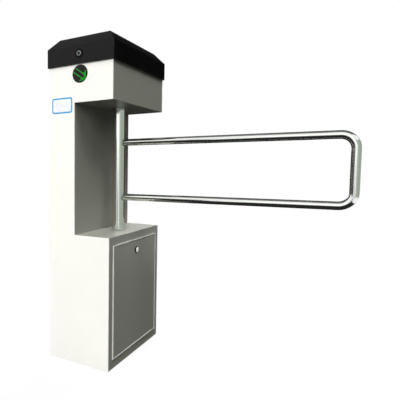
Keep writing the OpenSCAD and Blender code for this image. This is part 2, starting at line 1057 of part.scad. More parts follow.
// Key seat along the gear's hub, half of the key's height in the shaft
module shaft_key_space() {
    block([axis_x + shaft_d / 2 - key_h / 2, axis_x + shaft_d / 2 + key_h / 2],
        [-key_w / 2, key_w / 2], [gear_z - gear_hub_low, gear_top]);
}

module gear_key() {
    color("goldenrod")
        shaft_key_space();
}

module shaft_circlips() {
    outer_d = shaft_d + circlip_wall;
    color("dimgray")
        for (z = circlip_heights)
            translate([axis_x, 0, 0])
                difference() {
                    ring(outer_d, shaft_d - circlip_t, z, z + circlip_t);
                    block([0, outer_d], [-key_w / 4, key_w / 4],
                        [z - over, z + circlip_t + over]);
                }
}

module thrust_sleeve() {
    color("darkgray")
        translate([axis_x, 0, 0])
            ring(shaft_d + 2 * sleeve_wall, shaft_d, lower_bearing_top + sleeve_gap,
                gear_z - gear_hub_low);
}

// Involute of a base circle: the angle gained at radius r, in degrees
function involute_angle(r, base_r) =
    let (q = sqrt(max(0, r * r / (base_r * base_r) - 1))) q * 180 / PI - atan(q);

// Radius of flank point i of steps, where point 0 is on the root circle
function flank_radius(i, root_r, base_r, tip_r) =
    i == 0 ? root_r
    : let (low = max(root_r, base_r)) low + (tip_r - low) * (i - 1) / (flank_steps - 1);

// Outline of a spur gear, one tooth centred on +X
function gear_outline(teeth) =
    let (
        pitch_r = gear_module * teeth / 2,
        base_r = pitch_r * cos(pressure_angle),
        root_r = pitch_r - root_share * gear_module,
        tip_r = pitch_r + (1 - tip_relief_share) * gear_module,
        half = 90 / teeth - backlash / 4 / pitch_r * 180 / PI
            + involute_angle(pitch_r, base_r)
    )
    [for (k = [0:teeth - 1])
        for (side = [-1, 1])
            for (j = [0:flank_steps])
                let (
                    i = side < 0 ? j : flank_steps - j,
                    r = flank_radius(i, root_r, base_r, tip_r),
                    a = k * 360 / teeth
                        + side * (half - involute_angle(max(r, base_r), base_r))
                )
                [r * cos(a), r * sin(a)]];

module drive_gear() {
    hole_d = gear_pitch_r / 4;
    hole_r = (gear_hub_d / 2 + gear_pitch_r - root_share * gear_module) / 2;
    color("slategray")
        difference() {
            translate([axis_x, 0, 0]) {
                difference() {
                    union() {
                        translate([0, 0, gear_z])
                            rotate([0, 0, 180])
                                linear_extrude(gear_face)
                                    polygon(gear_outline(gear_teeth));
                        translate([0, 0, gear_z - gear_hub_low])
                            cylinder(d = gear_hub_d, h = gear_top - gear_z + gear_hub_low);
                    }
                    translate([0, 0, gear_z - gear_hub_low - over])
                        cylinder(d = shaft_d, h = gear_top - gear_z + gear_hub_low + 2 * over);
                    for (k = [0:gear_hole_count - 1])
                        rotate([0, 0, k * 360 / gear_hole_count])
                            translate([hole_r, 0, gear_z - over])
                                cylinder(d = hole_d, h = gear_face + 2 * over);
                }
            }
            shaft_key_space();
        }
}

module motor_pinion() {
    h = gear_face + 2 * pinion_margin;
    color("slategray")
        translate([pinion_x, 0, gear_z - pinion_margin])
            difference() {
                rotate([0, 0, 180 / pinion_teeth])
                    linear_extrude(h)
                        polygon(gear_outline(pinion_teeth));
                translate([0, 0, -over])
                    cylinder(d = output_d, h = h + 2 * over);
            }
}

module output_shaft() {
    color("silver")
        translate([pinion_x, 0, drive_plate_z - gearbox_h / 4])
            cylinder(d = output_d, h = gear_z + gear_face + 2 * pinion_margin
                - drive_plate_z + gearbox_h / 4);
}

// Disc that the sensors read: half of its rim is cut back by one sensor width
module position_disc() {
    color("silver")
        translate([axis_x, 0, 0])
            difference() {
                union() {
                    translate([0, 0, disc_mid_z - disc_t / 2])
                        difference() {
                            cylinder(d = disc_d, h = disc_t);
                            translate([0, 0, -over])
                                difference() {
                                    cylinder(d = disc_d + over, h = disc_t + 2 * over);
                                    cylinder(d = disc_d - sensor_d, h = disc_t + 2 * over);
                                    translate([-disc_d, 0, 0])
                                        cube([2 * disc_d, disc_d, disc_t + 2 * over]);
                                }
                        }
                    translate([0, 0, disc_z])
                        cylinder(d = disc_hub_d, h = disc_hub_h);
                }
                translate([0, 0, disc_z - over])
                    cylinder(d = shaft_d, h = disc_hub_h + 2 * over);
            }
}

// Lever that points away from the arm and meets a buffer at each end of the swing
module stop_lever() {
    reach = stop_r + lever_tip;
    color("slategray")
        translate([axis_x, 0, lever_z])
            difference() {
                union() {
                    cylinder(d = lever_hub_d, h = lever_t);
                    translate([-reach + lever_half_w, -lever_half_w, 0])
                        cube([reach - lever_half_w, 2 * lever_half_w, lever_t]);
                    translate([-reach + lever_half_w, 0, 0])
                        cylinder(r = lever_half_w, h = lever_t);
                }
                translate([0, 0, -over])
                    cylinder(d = shaft_d, h = lever_t + 2 * over);
                translate([0, -key_slot_w / 2, -over])
                    cube([lever_hub_d, key_slot_w, lever_t + 2 * over]);
            }
}

module stop_buffers() {
    top = lever_z + lever_t;
    for (side = [-1, 1])
        translate([axis_x + stop_r * cos(stop_angle), side * stop_r * sin(stop_angle), 0]) {
            color("silver")
                translate([0, 0, drive_plate_top])
                    cylinder(d = buffer_post_d,
                        h = top - drive_plate_top + buffer_margin);
            color("black")
                ring(buffer_d, buffer_post_d, lever_z - buffer_margin, top);
        }
}

// Two-bolt oval flange: one large circle, two small ones and their tangents
module oval_flange(big_d, small_d, span, h) {
    lean = acos((big_d - small_d) / span);
    linear_extrude(h) {
        circle(d = big_d);
        for (side = [0, 1])
            mirror([0, side]) {
                translate([0, span / 2])
                    circle(d = small_d);
                polygon([for (p = [[big_d / 2, 0, 1], [small_d / 2, span / 2, 1],
                        [small_d / 2, span / 2, -1], [big_d / 2, 0, -1]])
                    [p[2] * p[0] * sin(lean), p[1] + p[0] * cos(lean)]]);
            }
    }
}

// Bearing housing standing on its flange at z 0
module bearing_housing() {
    ear_d = 2 * housing_bolt_d + housing_flange_t / 2;
    difference() {
        union() {
            oval_flange(housing_d, ear_d, housing_bolt_span, housing_flange_t);
            cylinder(d = housing_d - bearing_lip, h = housing_h);
        }
        translate([0, 0, bearing_lip])
            cylinder(d = bearing_od, h = housing_h);
        translate([0, 0, -over])
            cylinder(d = bearing_od - 2 * bearing_lip, h = housing_h);
        for (side = [-1, 1])
            translate([0, side * housing_bolt_span / 2, -over])
                cylinder(d = housing_bolt_d + 2 * seat_fit,
                    h = housing_flange_t + 2 * over);
    }
}

// Shielded ball bearing: two rings joined by a sunk shield, seen in section
module ball_bearing() {
    wall = (bearing_od - shaft_d) / 2;
    race = wall / 3;
    sunk = bearing_w / 10;
    rotate_extrude()
        union() {
            translate([shaft_d / 2 + run_fit, 0])
                square([race, bearing_w]);
            translate([bearing_od / 2 - race, 0])
                square([race, bearing_w]);
            translate([shaft_d / 2 + run_fit, sunk])
                square([wall - run_fit, bearing_w - 2 * sunk]);
        }
}

// Puts a child on the head's floor and its mirror image under the drive plate
module at_both_bearings() {
    translate([axis_x, 0, head_z + sheet])
        children();
    translate([axis_x, 0, drive_plate_z])
        mirror([0, 0, 1])
            children();
}

module bearing_housings() {
    color("darkslategray")
        at_both_bearings()
            bearing_housing();
}

module ball_bearings() {
    color("lightsteelblue")
        at_both_bearings()
            translate([0, 0, bearing_lip])
                ball_bearing();
}

module shaft_bush() {
    body_d = shaft_d + 2 * (run_fit + bush_wall);
    color("white")
        translate([axis_x, 0, 0])
            difference() {
                union() {
                    ring(body_d, 0, base_h - sheet, base_h);
                    ring(body_d + 2 * bush_flange_w, 0, base_h - sheet - bush_flange_t,
                        base_h - sheet);
                }
                translate([0, 0, base_h - sheet - bush_flange_t - over])
                    cylinder(d = shaft_d + 2 * run_fit,
                        h = sheet + bush_flange_t + 2 * over);
            }
}

module drive_plate() {
    color("gray")
        difference() {
            block([plate_x0, plate_x1], [-plate_y, plate_y],
                [drive_plate_z, drive_plate_top]);
            translate([axis_x, 0, drive_plate_z - over])
                cylinder(d = shaft_hole_d, h = drive_plate_t + 2 * over);
            translate([pinion_x, 0, drive_plate_z - over])
                cylinder(d = pinion_hole_d, h = drive_plate_t + 2 * over);
            for (side = [-1, 1])
                translate([axis_x, side * housing_bolt_span / 2, drive_plate_z - over])
                    cylinder(d = housing_bolt_d, h = drive_plate_t + 2 * over);
            at_small_screws()
                translate([0, 0, drive_plate_z - over])
                    cylinder(d = screw_d, h = drive_plate_t + 2 * over);
        }
}

// Places of the small screws: four over the gearbox and one over each post
module at_small_screws() {
    reach = gearbox_side / 2 - motor_bolt_inset;
    for (x = [pinion_x - reach, pinion_x + reach])
        for (y = [-reach, reach])
            translate([x, y, 0])
                children();
    for (x = post_xs)
        for (y = [-post_y, post_y])
            translate([x, y, 0])
                children();
}

module hex_bolt(d, grip) {
    translate([0, 0, -grip])
        cylinder(d = d, h = grip);
    cylinder(d = bolt_head_d_share * d, h = bolt_head_h_share * d, $fn = 6);
}

// Screws of the drive plate, bolts of the bearing housings, spacers of the board
module fasteners() {
    color("silver") {
        at_board_holes()
            translate([0, 0, head_z + sheet])
                cylinder(d = standoff_d, h = board_up, $fn = 6);
        at_small_screws()
            translate([0, 0, drive_plate_z]) {
                difference() {
                    union() {
                        cylinder(d = screw_d, h = drive_plate_t);
                        translate([0, 0, drive_plate_t])
                            cylinder(d = screw_head_d, h = screw_head_h);
                    }
                    translate([0, 0, drive_plate_t + screw_head_h - hex_key_deep])
                        cylinder(d = hex_key_d, h = hex_key_deep + over, $fn = 6);
                }
            }
        for (side = [-1, 1])
            translate([axis_x, side * housing_bolt_span / 2, 0]) {
                translate([0, 0, head_z + sheet + housing_flange_t])
                    hex_bolt(housing_bolt_d, sheet + housing_flange_t);
                translate([0, 0, drive_plate_z - housing_flange_t])
                    mirror([0, 0, 1])
                        hex_bolt(housing_bolt_d, drive_plate_t + housing_flange_t);
            }
    }
}

module frame_posts() {
    color("silver")
        for (x = post_xs)
            for (y = [-post_y, post_y])
                translate([x, y, base_plate_t])
                    cylinder(d = post_d, h = drive_plate_z - base_plate_t);
}

// Gearbox under the plate with the ribbed motor below it
module gear_motor() {
    top = drive_plate_z;
    mid = top - gearbox_h;
    side = gearbox_side;
    rib = motor_l / (3 * motor_rib_count);
    color("darkslategray")
        translate([pinion_x, 0, 0])
            difference() {
                union() {
                    block([-side / 2, side / 2], [-side / 2, side / 2], [mid, top]);
                    ring(motor_d, 0, mid - motor_l, mid);
                }
                for (k = [1:motor_rib_count - 1])
                    ring(motor_d + over, motor_d - rib, mid - 2 * k * rib - rib,
                        mid - 2 * k * rib);
                translate([0, 0, top - gearbox_h / 4 - over])
                    cylinder(d = output_d + 2 * run_fit, h = gearbox_h);
            }
}

module holding_brake() {
    top = drive_plate_z - gearbox_h - motor_l;
    color("black")
        translate([pinion_x, 0, 0])
            ring(brake_d, 0, top - brake_l, top);
}

// Bridge over the pinion that carries three sensors in a row
module sensor_bracket() {
    x0 = axis_x - bracket_back;
    top = disc_mid_z + sensor_d + bracket_t;
    color("silver")
        difference() {
            union() {
                along_x(x0 - bracket_t, x0)
                    difference() {
                        translate([-bracket_half, drive_plate_top])
                            square([2 * bracket_half, top - drive_plate_top]);
                        translate([-bracket_half + bracket_leg_w, drive_plate_top - over])
                            square([2 * (bracket_half - bracket_leg_w),
                                disc_mid_z - sensor_d - drive_plate_top + over]);
                    }
                for (side = [0, 1])
                    mirror([0, side, 0])
                        block([x0 - bracket_foot, x0 - bracket_t],
                            [bracket_half - bracket_leg_w, bracket_half],
                            [drive_plate_top, drive_plate_top + bracket_t]);
            }
            for (y = [-sensor_pitch, 0, sensor_pitch])
                translate([x0 - bracket_t - over, y, disc_mid_z])
                    rotate([0, 90, 0])
                        cylinder(d = sensor_d, h = bracket_t + 2 * over);
        }
}

module limit_sensors() {
    x0 = axis_x - bracket_back;
    for (y = [-sensor_pitch, 0, sensor_pitch]) {
        near_y = max(0, abs(y) - sensor_d / 2);
        tip_x = axis_x - sqrt(disc_d * disc_d / 4 - near_y * near_y) - sensor_space;
        translate([tip_x - sensor_l, y, disc_mid_z])
            rotate([0, 90, 0]) {
                color("silver")
                    cylinder(d = sensor_d, h = sensor_l - sensor_face);
                color("orange")
                    translate([0, 0, sensor_l - sensor_face])
                        cylinder(d = sensor_d - sensor_face, h = sensor_face);
            }
        for (x = [x0, x0 - bracket_t - sensor_nut_t])
            color("silver")
                translate([x, y, disc_mid_z])
                    rotate([0, 90, 0])
                        difference() {
                            cylinder(d = sensor_nut_d, h = sensor_nut_t, $fn = 6);
                            translate([0, 0, -over])
                                cylinder(d = sensor_d, h = sensor_nut_t + 2 * over);
                        }
    }
}

// Hat-shaped mounting rail on the left wall
module mounting_rail() {
    x0 = left_x + sheet;
    inner = rail_w - 2 * rail_lip;
    color("silver") {
        block([x0, x0 + rail_t], [-rail_half, rail_half],
            [rail_z - inner / 2, rail_z + inner / 2]);
        for (side = [0, 1])
            translate([0, 0, rail_z])
                mirror([0, 0, side]) {
                    block([x0, x0 + rail_deep], [-rail_half, rail_half],
                        [inner / 2, inner / 2 + rail_t]);
                    block([x0 + rail_deep - rail_t, x0 + rail_deep],
                        [-rail_half, rail_half], [inner / 2 + rail_t, rail_w / 2]);
                }
    }
}

module terminal_blocks() {
    color("lightgray")
        for (k = [0:terminal_count - 1])
            terminal(rail_x, terminal_y + k * terminal_w);
}

// Terminal block with a stepped front
module terminal(x0, y0) {
    deep = terminal_deep;
    h = terminal_h;
    along_y(y0 + terminal_w / 20, y0 + terminal_w)
        polygon([[x0, rail_z - h / 2], [x0 + deep / 2, rail_z - h / 2],
            [x0 + deep / 2, rail_z - h / 3], [x0 + deep, rail_z - h / 4],
            [x0 + deep, rail_z + h / 4], [x0 + deep / 2, rail_z + h / 3],
            [x0 + deep / 2, rail_z + h / 2], [x0, rail_z + h / 2]]);
}

module circuit_breaker() {
    y = [breaker_y, breaker_y + breaker_w];
    front = rail_x + breaker_deep;
    nose = breaker_nose_h / 2;
    toggle = nose / 3;
    color("whitesmoke") {
        block([rail_x, front - breaker_nose_deep], y,
            [rail_z - breaker_h / 2, rail_z + breaker_h / 2]);
        block([front - breaker_nose_deep, front - toggle], y,
            [rail_z - nose, rail_z + nose]);
    }
    color("black")
        block([front - toggle, front], [y[0] + breaker_w / 4, y[1] - breaker_w / 4],
            [rail_z, rail_z + toggle]);
}

// Power supply with a row of air slots in its front
module power_supply() {
    front = rail_x + supply_deep;
    mid = supply_y + supply_w / 2;
    color("silver")
        difference() {
            block([rail_x, front], [supply_y, supply_y + supply_w],
                [rail_z - supply_h / 2, rail_z + supply_h / 2]);
            for (k = [0:slot_count - 1])
                translate([0, mid + (k - (slot_count - 1) / 2) * slot_pitch, 0])
                    block([front - slot_deep, front + over], [-slot_w / 2, slot_w / 2],
                        [rail_z - slot_l / 2, rail_z + slot_l / 2]);
        }
}

// Puts a child at each hole of the control board
module at_board_holes() {
    for (x = [-board_hole_x, board_hole_x])
        for (y = [-board_hole_y, board_hole_y])
            translate([board_x + x, board_y + y, 0])
                children();
}

module control_board() {
    top = head_z + sheet + board_up + board_t;
    translate([board_x, board_y, 0]) {
        color("seagreen")
            block([-board_w / 2, board_w / 2], [-board_d / 2, board_d / 2],
                [top - board_t, top]);
        color("royalblue")
            for (k = [-1, 0, 1])
                block([k * relay_pitch - relay_w / 2, k * relay_pitch + relay_w / 2],
                    [0, relay_d], [top, top + relay_h]);
        color("limegreen")
            block([-connector_w / 2, connector_w / 2],
                [-board_d / 2, connector_d - board_d / 2], [top, top + connector_h]);
        color("black") {
            block([-chip_w / 2, chip_w / 2], [-chip_w - board_t, -board_t],
                [top, top + chip_h]);
            for (x = [-board_hole_x, board_hole_x])
                translate([x, -capacitor_d, top])
                    cylinder(d = capacitor_d, h = capacitor_h);
        }
    }
}

// Puts a child at both indicators, its +Z out of the fascia's face
module at_both_indicators() {
    for (side = [0, 1])
        mirror([0, side, 0])
            translate([head_mid_x, front_y, indicator_z])
                rotate([90, 0, 0])
                    children();
}

module indicator_lenses() {
    color("black")
        at_both_indicators()
            ring(indicator_d, 0, -sheet, indicator_proud);
}

// Flanged cup behind each lens
module indicator_housings() {
    back = -sheet - indicator_depth;
    color("dimgray")
        at_both_indicators() {
            ring(indicator_d + 2 * housing_lip, cup_inner_d, -sheet - housing_lip, -sheet);
            ring(cup_inner_d + 2 * housing_wall, cup_inner_d, back, -sheet - housing_lip);
            ring(cup_inner_d + 2 * housing_wall, 0, back - housing_wall, back);
        }
}

// Round board with its light-emitting diodes in rows
module indicator_boards() {
    board_z = -sheet - indicator_depth + board_back;
    at_both_indicators() {
        color("seagreen")
            ring(cup_inner_d, 0, board_z, board_z + board_t);
        color("lightyellow")
            for (i = [-led_rows:led_rows])
                for (j = [-led_rows:led_rows])
                    if (i * i + j * j < 2 * led_rows * led_rows)
                        translate([i * led_pitch, j * led_pitch, board_z + board_t])
                            cylinder(d = led_d, h = led_h);
    }
}

base_plate();
cable_grommet();
left_side_panel();
base_side_panel();
base_top_panel();
recess_panel();
head_floor_panel();
head_side_panel();
front_fascia();
back_fascia();
rim_gasket();
lid_catch();
door_panel();
door_seal();
door_lock_barrel();
door_lock_nut();
door_lock_plug();
door_lock_cam();
lid_shell();
lid_ledge_frame();
lid_lock_rosette();
lid_lock_barrel();
lid_lock_nut();
lid_lock_plug();
lid_lock_cam();
lid_hinge_upper_leaves();
lid_hinge_lower_leaves();
hinge_pins();
arm_tube();
post_tube();
post_plugs();
post_collars();
main_shaft();
shaft_circlips();
thrust_sleeve();
drive_gear();
gear_key();
position_disc();
stop_lever();
motor_pinion();
output_shaft();
bearing_housings();
ball_bearings();
shaft_bush();
drive_plate();
frame_posts();
gear_motor();
holding_brake();
fasteners();
stop_buffers();
sensor_bracket();
limit_sensors();
mounting_rail();
terminal_blocks();
circuit_breaker();
power_supply();
control_board();
indicator_lenses();
indicator_housings();
indicator_boards();
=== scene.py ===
"""Looks of the swing barrier gate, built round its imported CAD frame.

Lengths are in metres and colours in linear light. The gate's front looks towards -Y and its
arm reaches towards +X. Compass angles are in degrees from +X towards +Y.
"""
import json
import math
from functools import partial

import bmesh
import bpy
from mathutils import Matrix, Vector


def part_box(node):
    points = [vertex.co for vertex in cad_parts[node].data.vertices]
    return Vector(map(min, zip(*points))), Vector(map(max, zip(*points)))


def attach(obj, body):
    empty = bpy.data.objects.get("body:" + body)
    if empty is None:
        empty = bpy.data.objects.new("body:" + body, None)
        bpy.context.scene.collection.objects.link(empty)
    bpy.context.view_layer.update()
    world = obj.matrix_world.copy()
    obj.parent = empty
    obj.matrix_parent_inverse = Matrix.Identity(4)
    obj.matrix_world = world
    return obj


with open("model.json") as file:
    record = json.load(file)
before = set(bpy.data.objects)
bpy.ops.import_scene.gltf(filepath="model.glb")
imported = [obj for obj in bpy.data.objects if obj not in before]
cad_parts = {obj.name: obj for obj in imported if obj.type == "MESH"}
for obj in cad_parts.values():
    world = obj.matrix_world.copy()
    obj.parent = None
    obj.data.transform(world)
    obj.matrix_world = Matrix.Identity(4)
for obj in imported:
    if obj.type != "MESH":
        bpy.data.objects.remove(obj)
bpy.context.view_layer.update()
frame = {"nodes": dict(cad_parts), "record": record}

# Camera

# The photograph's frame in pixels, with the focal length and the column of the optical axis
IMAGE_PX = 400
FOCAL_PX = 429.7
AXIS_PX = 71.7
SENSOR_WIDTH = 36.0
CLIP_END = 60.0
EYE = (0.7086, -1.2673, 0.6078)
YAW = math.radians(34.0)
PITCH = math.radians(4.3)


def make_camera():
    data = bpy.data.cameras.new("view")
    data.sensor_width = SENSOR_WIDTH
    data.lens = SENSOR_WIDTH * FOCAL_PX / IMAGE_PX
    data.shift_x = (IMAGE_PX / 2 - AXIS_PX) / IMAGE_PX
    data.clip_end = CLIP_END
    camera = bpy.data.objects.new("view", data)
    bpy.context.scene.collection.objects.link(camera)
    camera.location = EYE
    camera.rotation_euler = (math.pi / 2 - PITCH, 0, YAW)
    bpy.context.scene.camera = camera


make_camera()
bpy.context.scene.view_settings.view_transform = "Standard"

# Node kit

PURE_WHITE = (1.0, 1.0, 1.0)
# The band that most of a noise's values lie in
NOISE_BAND = (0.3, 0.7)
NOISE_ROUGHNESS = 0.55
# How far a rounded normal leans off the face, as a cosine, on an edge and on a plain face
EDGE_BAND = (0.80, 0.99)
BEVEL_SAMPLES = 6
# Numbers of the colour sockets on Blender's Mix node
MIX_A = 6
MIX_B = 7
MIX_RESULT = 2


class Tree:
    """Short names for making and joining the nodes of one node tree."""

    def __init__(self, tree):
        self.tree = tree

    def node(self, kind, **settings):
        made = self.tree.nodes.new(kind)
        for key, value in settings.items():
            setattr(made, key, value)
        return made

    def feed(self, socket, value):
        """Links an output to a socket, or writes a number or colour on the socket itself."""
        if isinstance(value, bpy.types.NodeSocket):
            self.tree.links.new(value, socket)
        elif socket.type == "RGBA":
            socket.default_value = (*value, 1.0)
        else:
            socket.default_value = value

    def math(self, operation, a, b=0.0, clamp=False):
        made = self.node("ShaderNodeMath", operation=operation, use_clamp=clamp)
        self.feed(made.inputs[0], a)
        self.feed(made.inputs[1], b)
        return made.outputs[0]

    def glow(self, kind, colour, strength):
        """Shader of a surface or a world that shines."""
        made = self.node(kind)
        self.feed(made.inputs["Color"], colour)
        self.feed(made.inputs["Strength"], strength)
        return made.outputs[0]

    def blend(self, share, a, b):
        """Shader a where the share is 0, and shader b where it is 1."""
        made = self.node("ShaderNodeMixShader")
        for socket, value in zip(made.inputs, (share, a, b)):
            self.feed(socket, value)
        return made.outputs[0]

    def first_look(self):
        """1 for a ray that has met no matt surface yet, 0 after one."""
        path = self.node("ShaderNodeLightPath")
        return self.math("LESS_THAN", path.outputs["Diffuse Depth"], 0.5)

    def seen_share(self):
        """1 for what is seen directly, mirrored or through glass, 0 once a matt surface is met."""
        path = self.node("ShaderNodeLightPath")
        seen = path.outputs["Is Camera Ray"]
        for label in ("Is Glossy Ray", "Is Transmission Ray"):
            seen = self.math("MAXIMUM", seen, path.outputs[label])
        return self.math("MULTIPLY", seen, self.first_look())


class Paint(Tree):
    """A material and short names for the patterns that it is built from."""

    def __init__(self, name):
        self.material = bpy.data.materials.new(name)
        self.material.use_nodes = True
        super().__init__(self.material.node_tree)
        self.bsdf = self.tree.nodes["Principled BSDF"]
        self.place = self.node("ShaderNodeTexCoord").outputs["Object"]

    def stretched(self, scale):
        made = self.node("ShaderNodeMapping")
        self.feed(made.inputs["Vector"], self.place)
        self.feed(made.inputs["Scale"], scale)
        return made.outputs["Vector"]

    def noise(self, scale, detail=3.0, place=None):
        made = self.node("ShaderNodeTexNoise")
        self.feed(made.inputs["Vector"], place or self.place)
        self.feed(made.inputs["Scale"], scale)
        self.feed(made.inputs["Detail"], detail)
        self.feed(made.inputs["Roughness"], NOISE_ROUGHNESS)
        return made.outputs[0]

    def cells(self, scale, feature="F1"):
        made = self.node("ShaderNodeTexVoronoi", feature=feature)
        self.feed(made.inputs["Vector"], self.place)
        self.feed(made.inputs["Scale"], scale)
        return made.outputs["Distance"]

    def fit(self, value, band, onto=(0.0, 1.0)):
        """Lays one band of values over another, and cuts off what lies outside."""
        made = self.node("ShaderNodeMapRange", clamp=True)
        self.feed(made.inputs["Value"], value)
        self.feed(made.inputs["From Min"], band[0])
        self.feed(made.inputs["From Max"], band[1])
        self.feed(made.inputs["To Min"], onto[0])
        self.feed(made.inputs["To Max"], onto[1])
        return made.outputs["Result"]

    def spread(self, noise, low=0.0, high=1.0):
        """A noise that is laid over the values from low to high."""
        return self.fit(noise, NOISE_BAND, (low, high))

    def mix(self, share, a, b):
        """Colour a where the share is 0, and colour b where it is 1."""
        made = self.node("ShaderNodeMix", data_type="RGBA")
        self.feed(made.inputs["Factor"], share)
        self.feed(made.inputs[MIX_A], a)
        self.feed(made.inputs[MIX_B], b)
        return made.outputs[MIX_RESULT]

    def shaded(self, share, colour, darker, lighter):
        """A colour that goes from a darker to a lighter tint of itself with the share."""
        return self.mix(share, tint(colour, darker), tint(colour, lighter))

    def axis(self, letter):
        split = self.node("ShaderNodeSeparateXYZ")
        self.feed(split.inputs[0], self.place)
        return split.outputs[letter]

    def within(self, **limits):
        """1 where each named axis lies between its two limits, 0 elsewhere. None is no limit."""
        tests = []
        for letter, (low, high) in limits.items():
            if low is not None:
                tests.append(self.math("GREATER_THAN", self.axis(letter), low))
            if high is not None:
                tests.append(self.math("LESS_THAN", self.axis(letter), high))
        share = tests[0]
        for test in tests[1:]:
            share = self.math("MULTIPLY", share, test)
        return share

    def rounded(self, radius):
        made = self.node("ShaderNodeBevel", samples=BEVEL_SAMPLES)
        self.feed(made.inputs["Radius"], radius)
        return made.outputs["Normal"]

    def edge(self, radius):
        """1 along an edge, where wear and the black coat's painted highlight go, 0 on a plain
        face.
        """
        flat = self.node("ShaderNodeNewGeometry").outputs["Normal"]
        dot = self.node("ShaderNodeVectorMath", operation="DOT_PRODUCT")
        self.feed(dot.inputs[0], self.rounded(radius))
        self.feed(dot.inputs[1], flat)
        return self.fit(dot.outputs["Value"], EDGE_BAND, (1.0, 0.0))

    def bump(self, height, strength, distance, normal=None):
        made = self.node("ShaderNodeBump")
        self.feed(made.inputs["Strength"], strength)
        self.feed(made.inputs["Distance"], distance)
        self.feed(made.inputs["Height"], height)
        if normal is not None:
            self.feed(made.inputs["Normal"], normal)
        return made.outputs["Normal"]

    def finish(self, colour, roughness, normal, metallic=0.0, **sockets):
        """Feeds the shader. Other sockets go by name, with an underscore for each space."""
        self.feed(self.bsdf.inputs["Base Color"], colour)
        self.feed(self.bsdf.inputs["Roughness"], roughness)
        self.feed(self.bsdf.inputs["Normal"], normal)
        self.feed(self.bsdf.inputs["Metallic"], metallic)
        for key, value in sockets.items():
            self.feed(self.bsdf.inputs[key.replace("_", " ")], value)
        return self.material

    def show(self, shader):
        """Puts a shader on the surface in place of the plain principled one."""
        self.feed(self.tree.nodes["Material Output"].inputs["Surface"], shader)


def tint(colour, factor):
    return tuple(min(1.0, part * factor) for part in colour)


def grey(level):
    return (level, level, level)


# Colours. A pair holds the dark and the light end of a surface that isn't one even colour

WHITE = (0.925, 0.915, 0.860)
GREY = (0.345, 0.352, 0.302)
BLACK = (0.0042, 0.0042, 0.0040)
MID_GREY = 0.5
DUST = (0.42, 0.40, 0.36)
STEEL = (0.86, 0.885, 0.845)
ZINC = (0.62, 0.62, 0.59)
GEAR_STEEL = (0.40, 0.41, 0.42)
BRASS = (0.70, 0.52, 0.22)
SATIN_STEEL = (0.30, 0.325, 0.32)
# Dark steel of the lid lock's plug, partly painted shade of its keyhole
DARK_STEEL_AND_KEYHOLE_SHADE = (0.05, 0.055, 0.055)
WELD_STEEL = (0.50, 0.51, 0.50)
POST_STEEL = (0.45, 0.45, 0.43)
RUBBER = grey(0.022)
PALE_RUBBER = (0.78, 0.78, 0.74)
CHALK = (0.35, 0.35, 0.34)
NYLON = (0.84, 0.84, 0.81)
BLACK_PLASTIC = grey(0.03)
# Near-total black of the lid lock's rosette, partly painted shade round the lock
BLACK_PLASTIC_AND_SHADE = grey(0.004)
BREAKER_CASE = (0.78, 0.78, 0.75)
BREAKER_TOGGLE = (0.02, 0.02, 0.022)
MARKER_STRIP = (0.86, 0.86, 0.84)
RELAY_BLUE = (0.02, 0.09, 0.38)
CONNECTOR_GREEN = (0.05, 0.36, 0.07)
CHIP_BLACK = (0.018, 0.018, 0.020)
DIODE = (0.85, 0.88, 0.70)
PLATE_BLUE = (0.02, 0.34, 0.66)
PLATE_WHITE = (0.84, 0.87, 0.90)
IRON_PAIR = ((0.055, 0.070, 0.072), (0.085, 0.105, 0.105))
ENAMEL_PAIR = ((0.030, 0.036, 0.042), (0.045, 0.052, 0.058))
ALUMINIUM_PAIR = ((0.34, 0.35, 0.35), (0.46, 0.47, 0.47))
SMOKED_PAIR = ((0.012, 0.011, 0.012), (0.020, 0.019, 0.020))
BOARD_PAIR = ((0.010, 0.115, 0.048), (0.030, 0.220, 0.085))
LAMP_BOARD_PAIR = ((0.012, 0.130, 0.055), (0.035, 0.240, 0.095))
# Nickel of the sensors' threads; the dark end is painted shade in the grooves
NICKEL_AND_GROOVE_SHADE_PAIR = ((0.42, 0.42, 0.40), (0.70, 0.70, 0.67))
TERMINAL_PAIR = ((0.40, 0.41, 0.40), (0.50, 0.51, 0.50))
BRIGHT_RING_PAIR = ((0.84, 0.84, 0.82), (0.93, 0.93, 0.91))
# Dark and light end of the door lock's rim, which is painted shade
PAINTED_SHADE_RIM_PAIR = ((0.035, 0.035, 0.032), (0.060, 0.060, 0.056))
PLUG_PAIR = ((0.80, 0.80, 0.78), (0.90, 0.90, 0.88))
ARROW_PAIR = ((0.003, 0.15, 0.007), (0.009, 0.47, 0.018))
FLOOR_PAIR = ((0.80, 0.80, 0.79), (0.84, 0.84, 0.83))

# Materials that several nodes share

# Dust lies on the coats up to this height
DUST_HEIGHT = 0.12


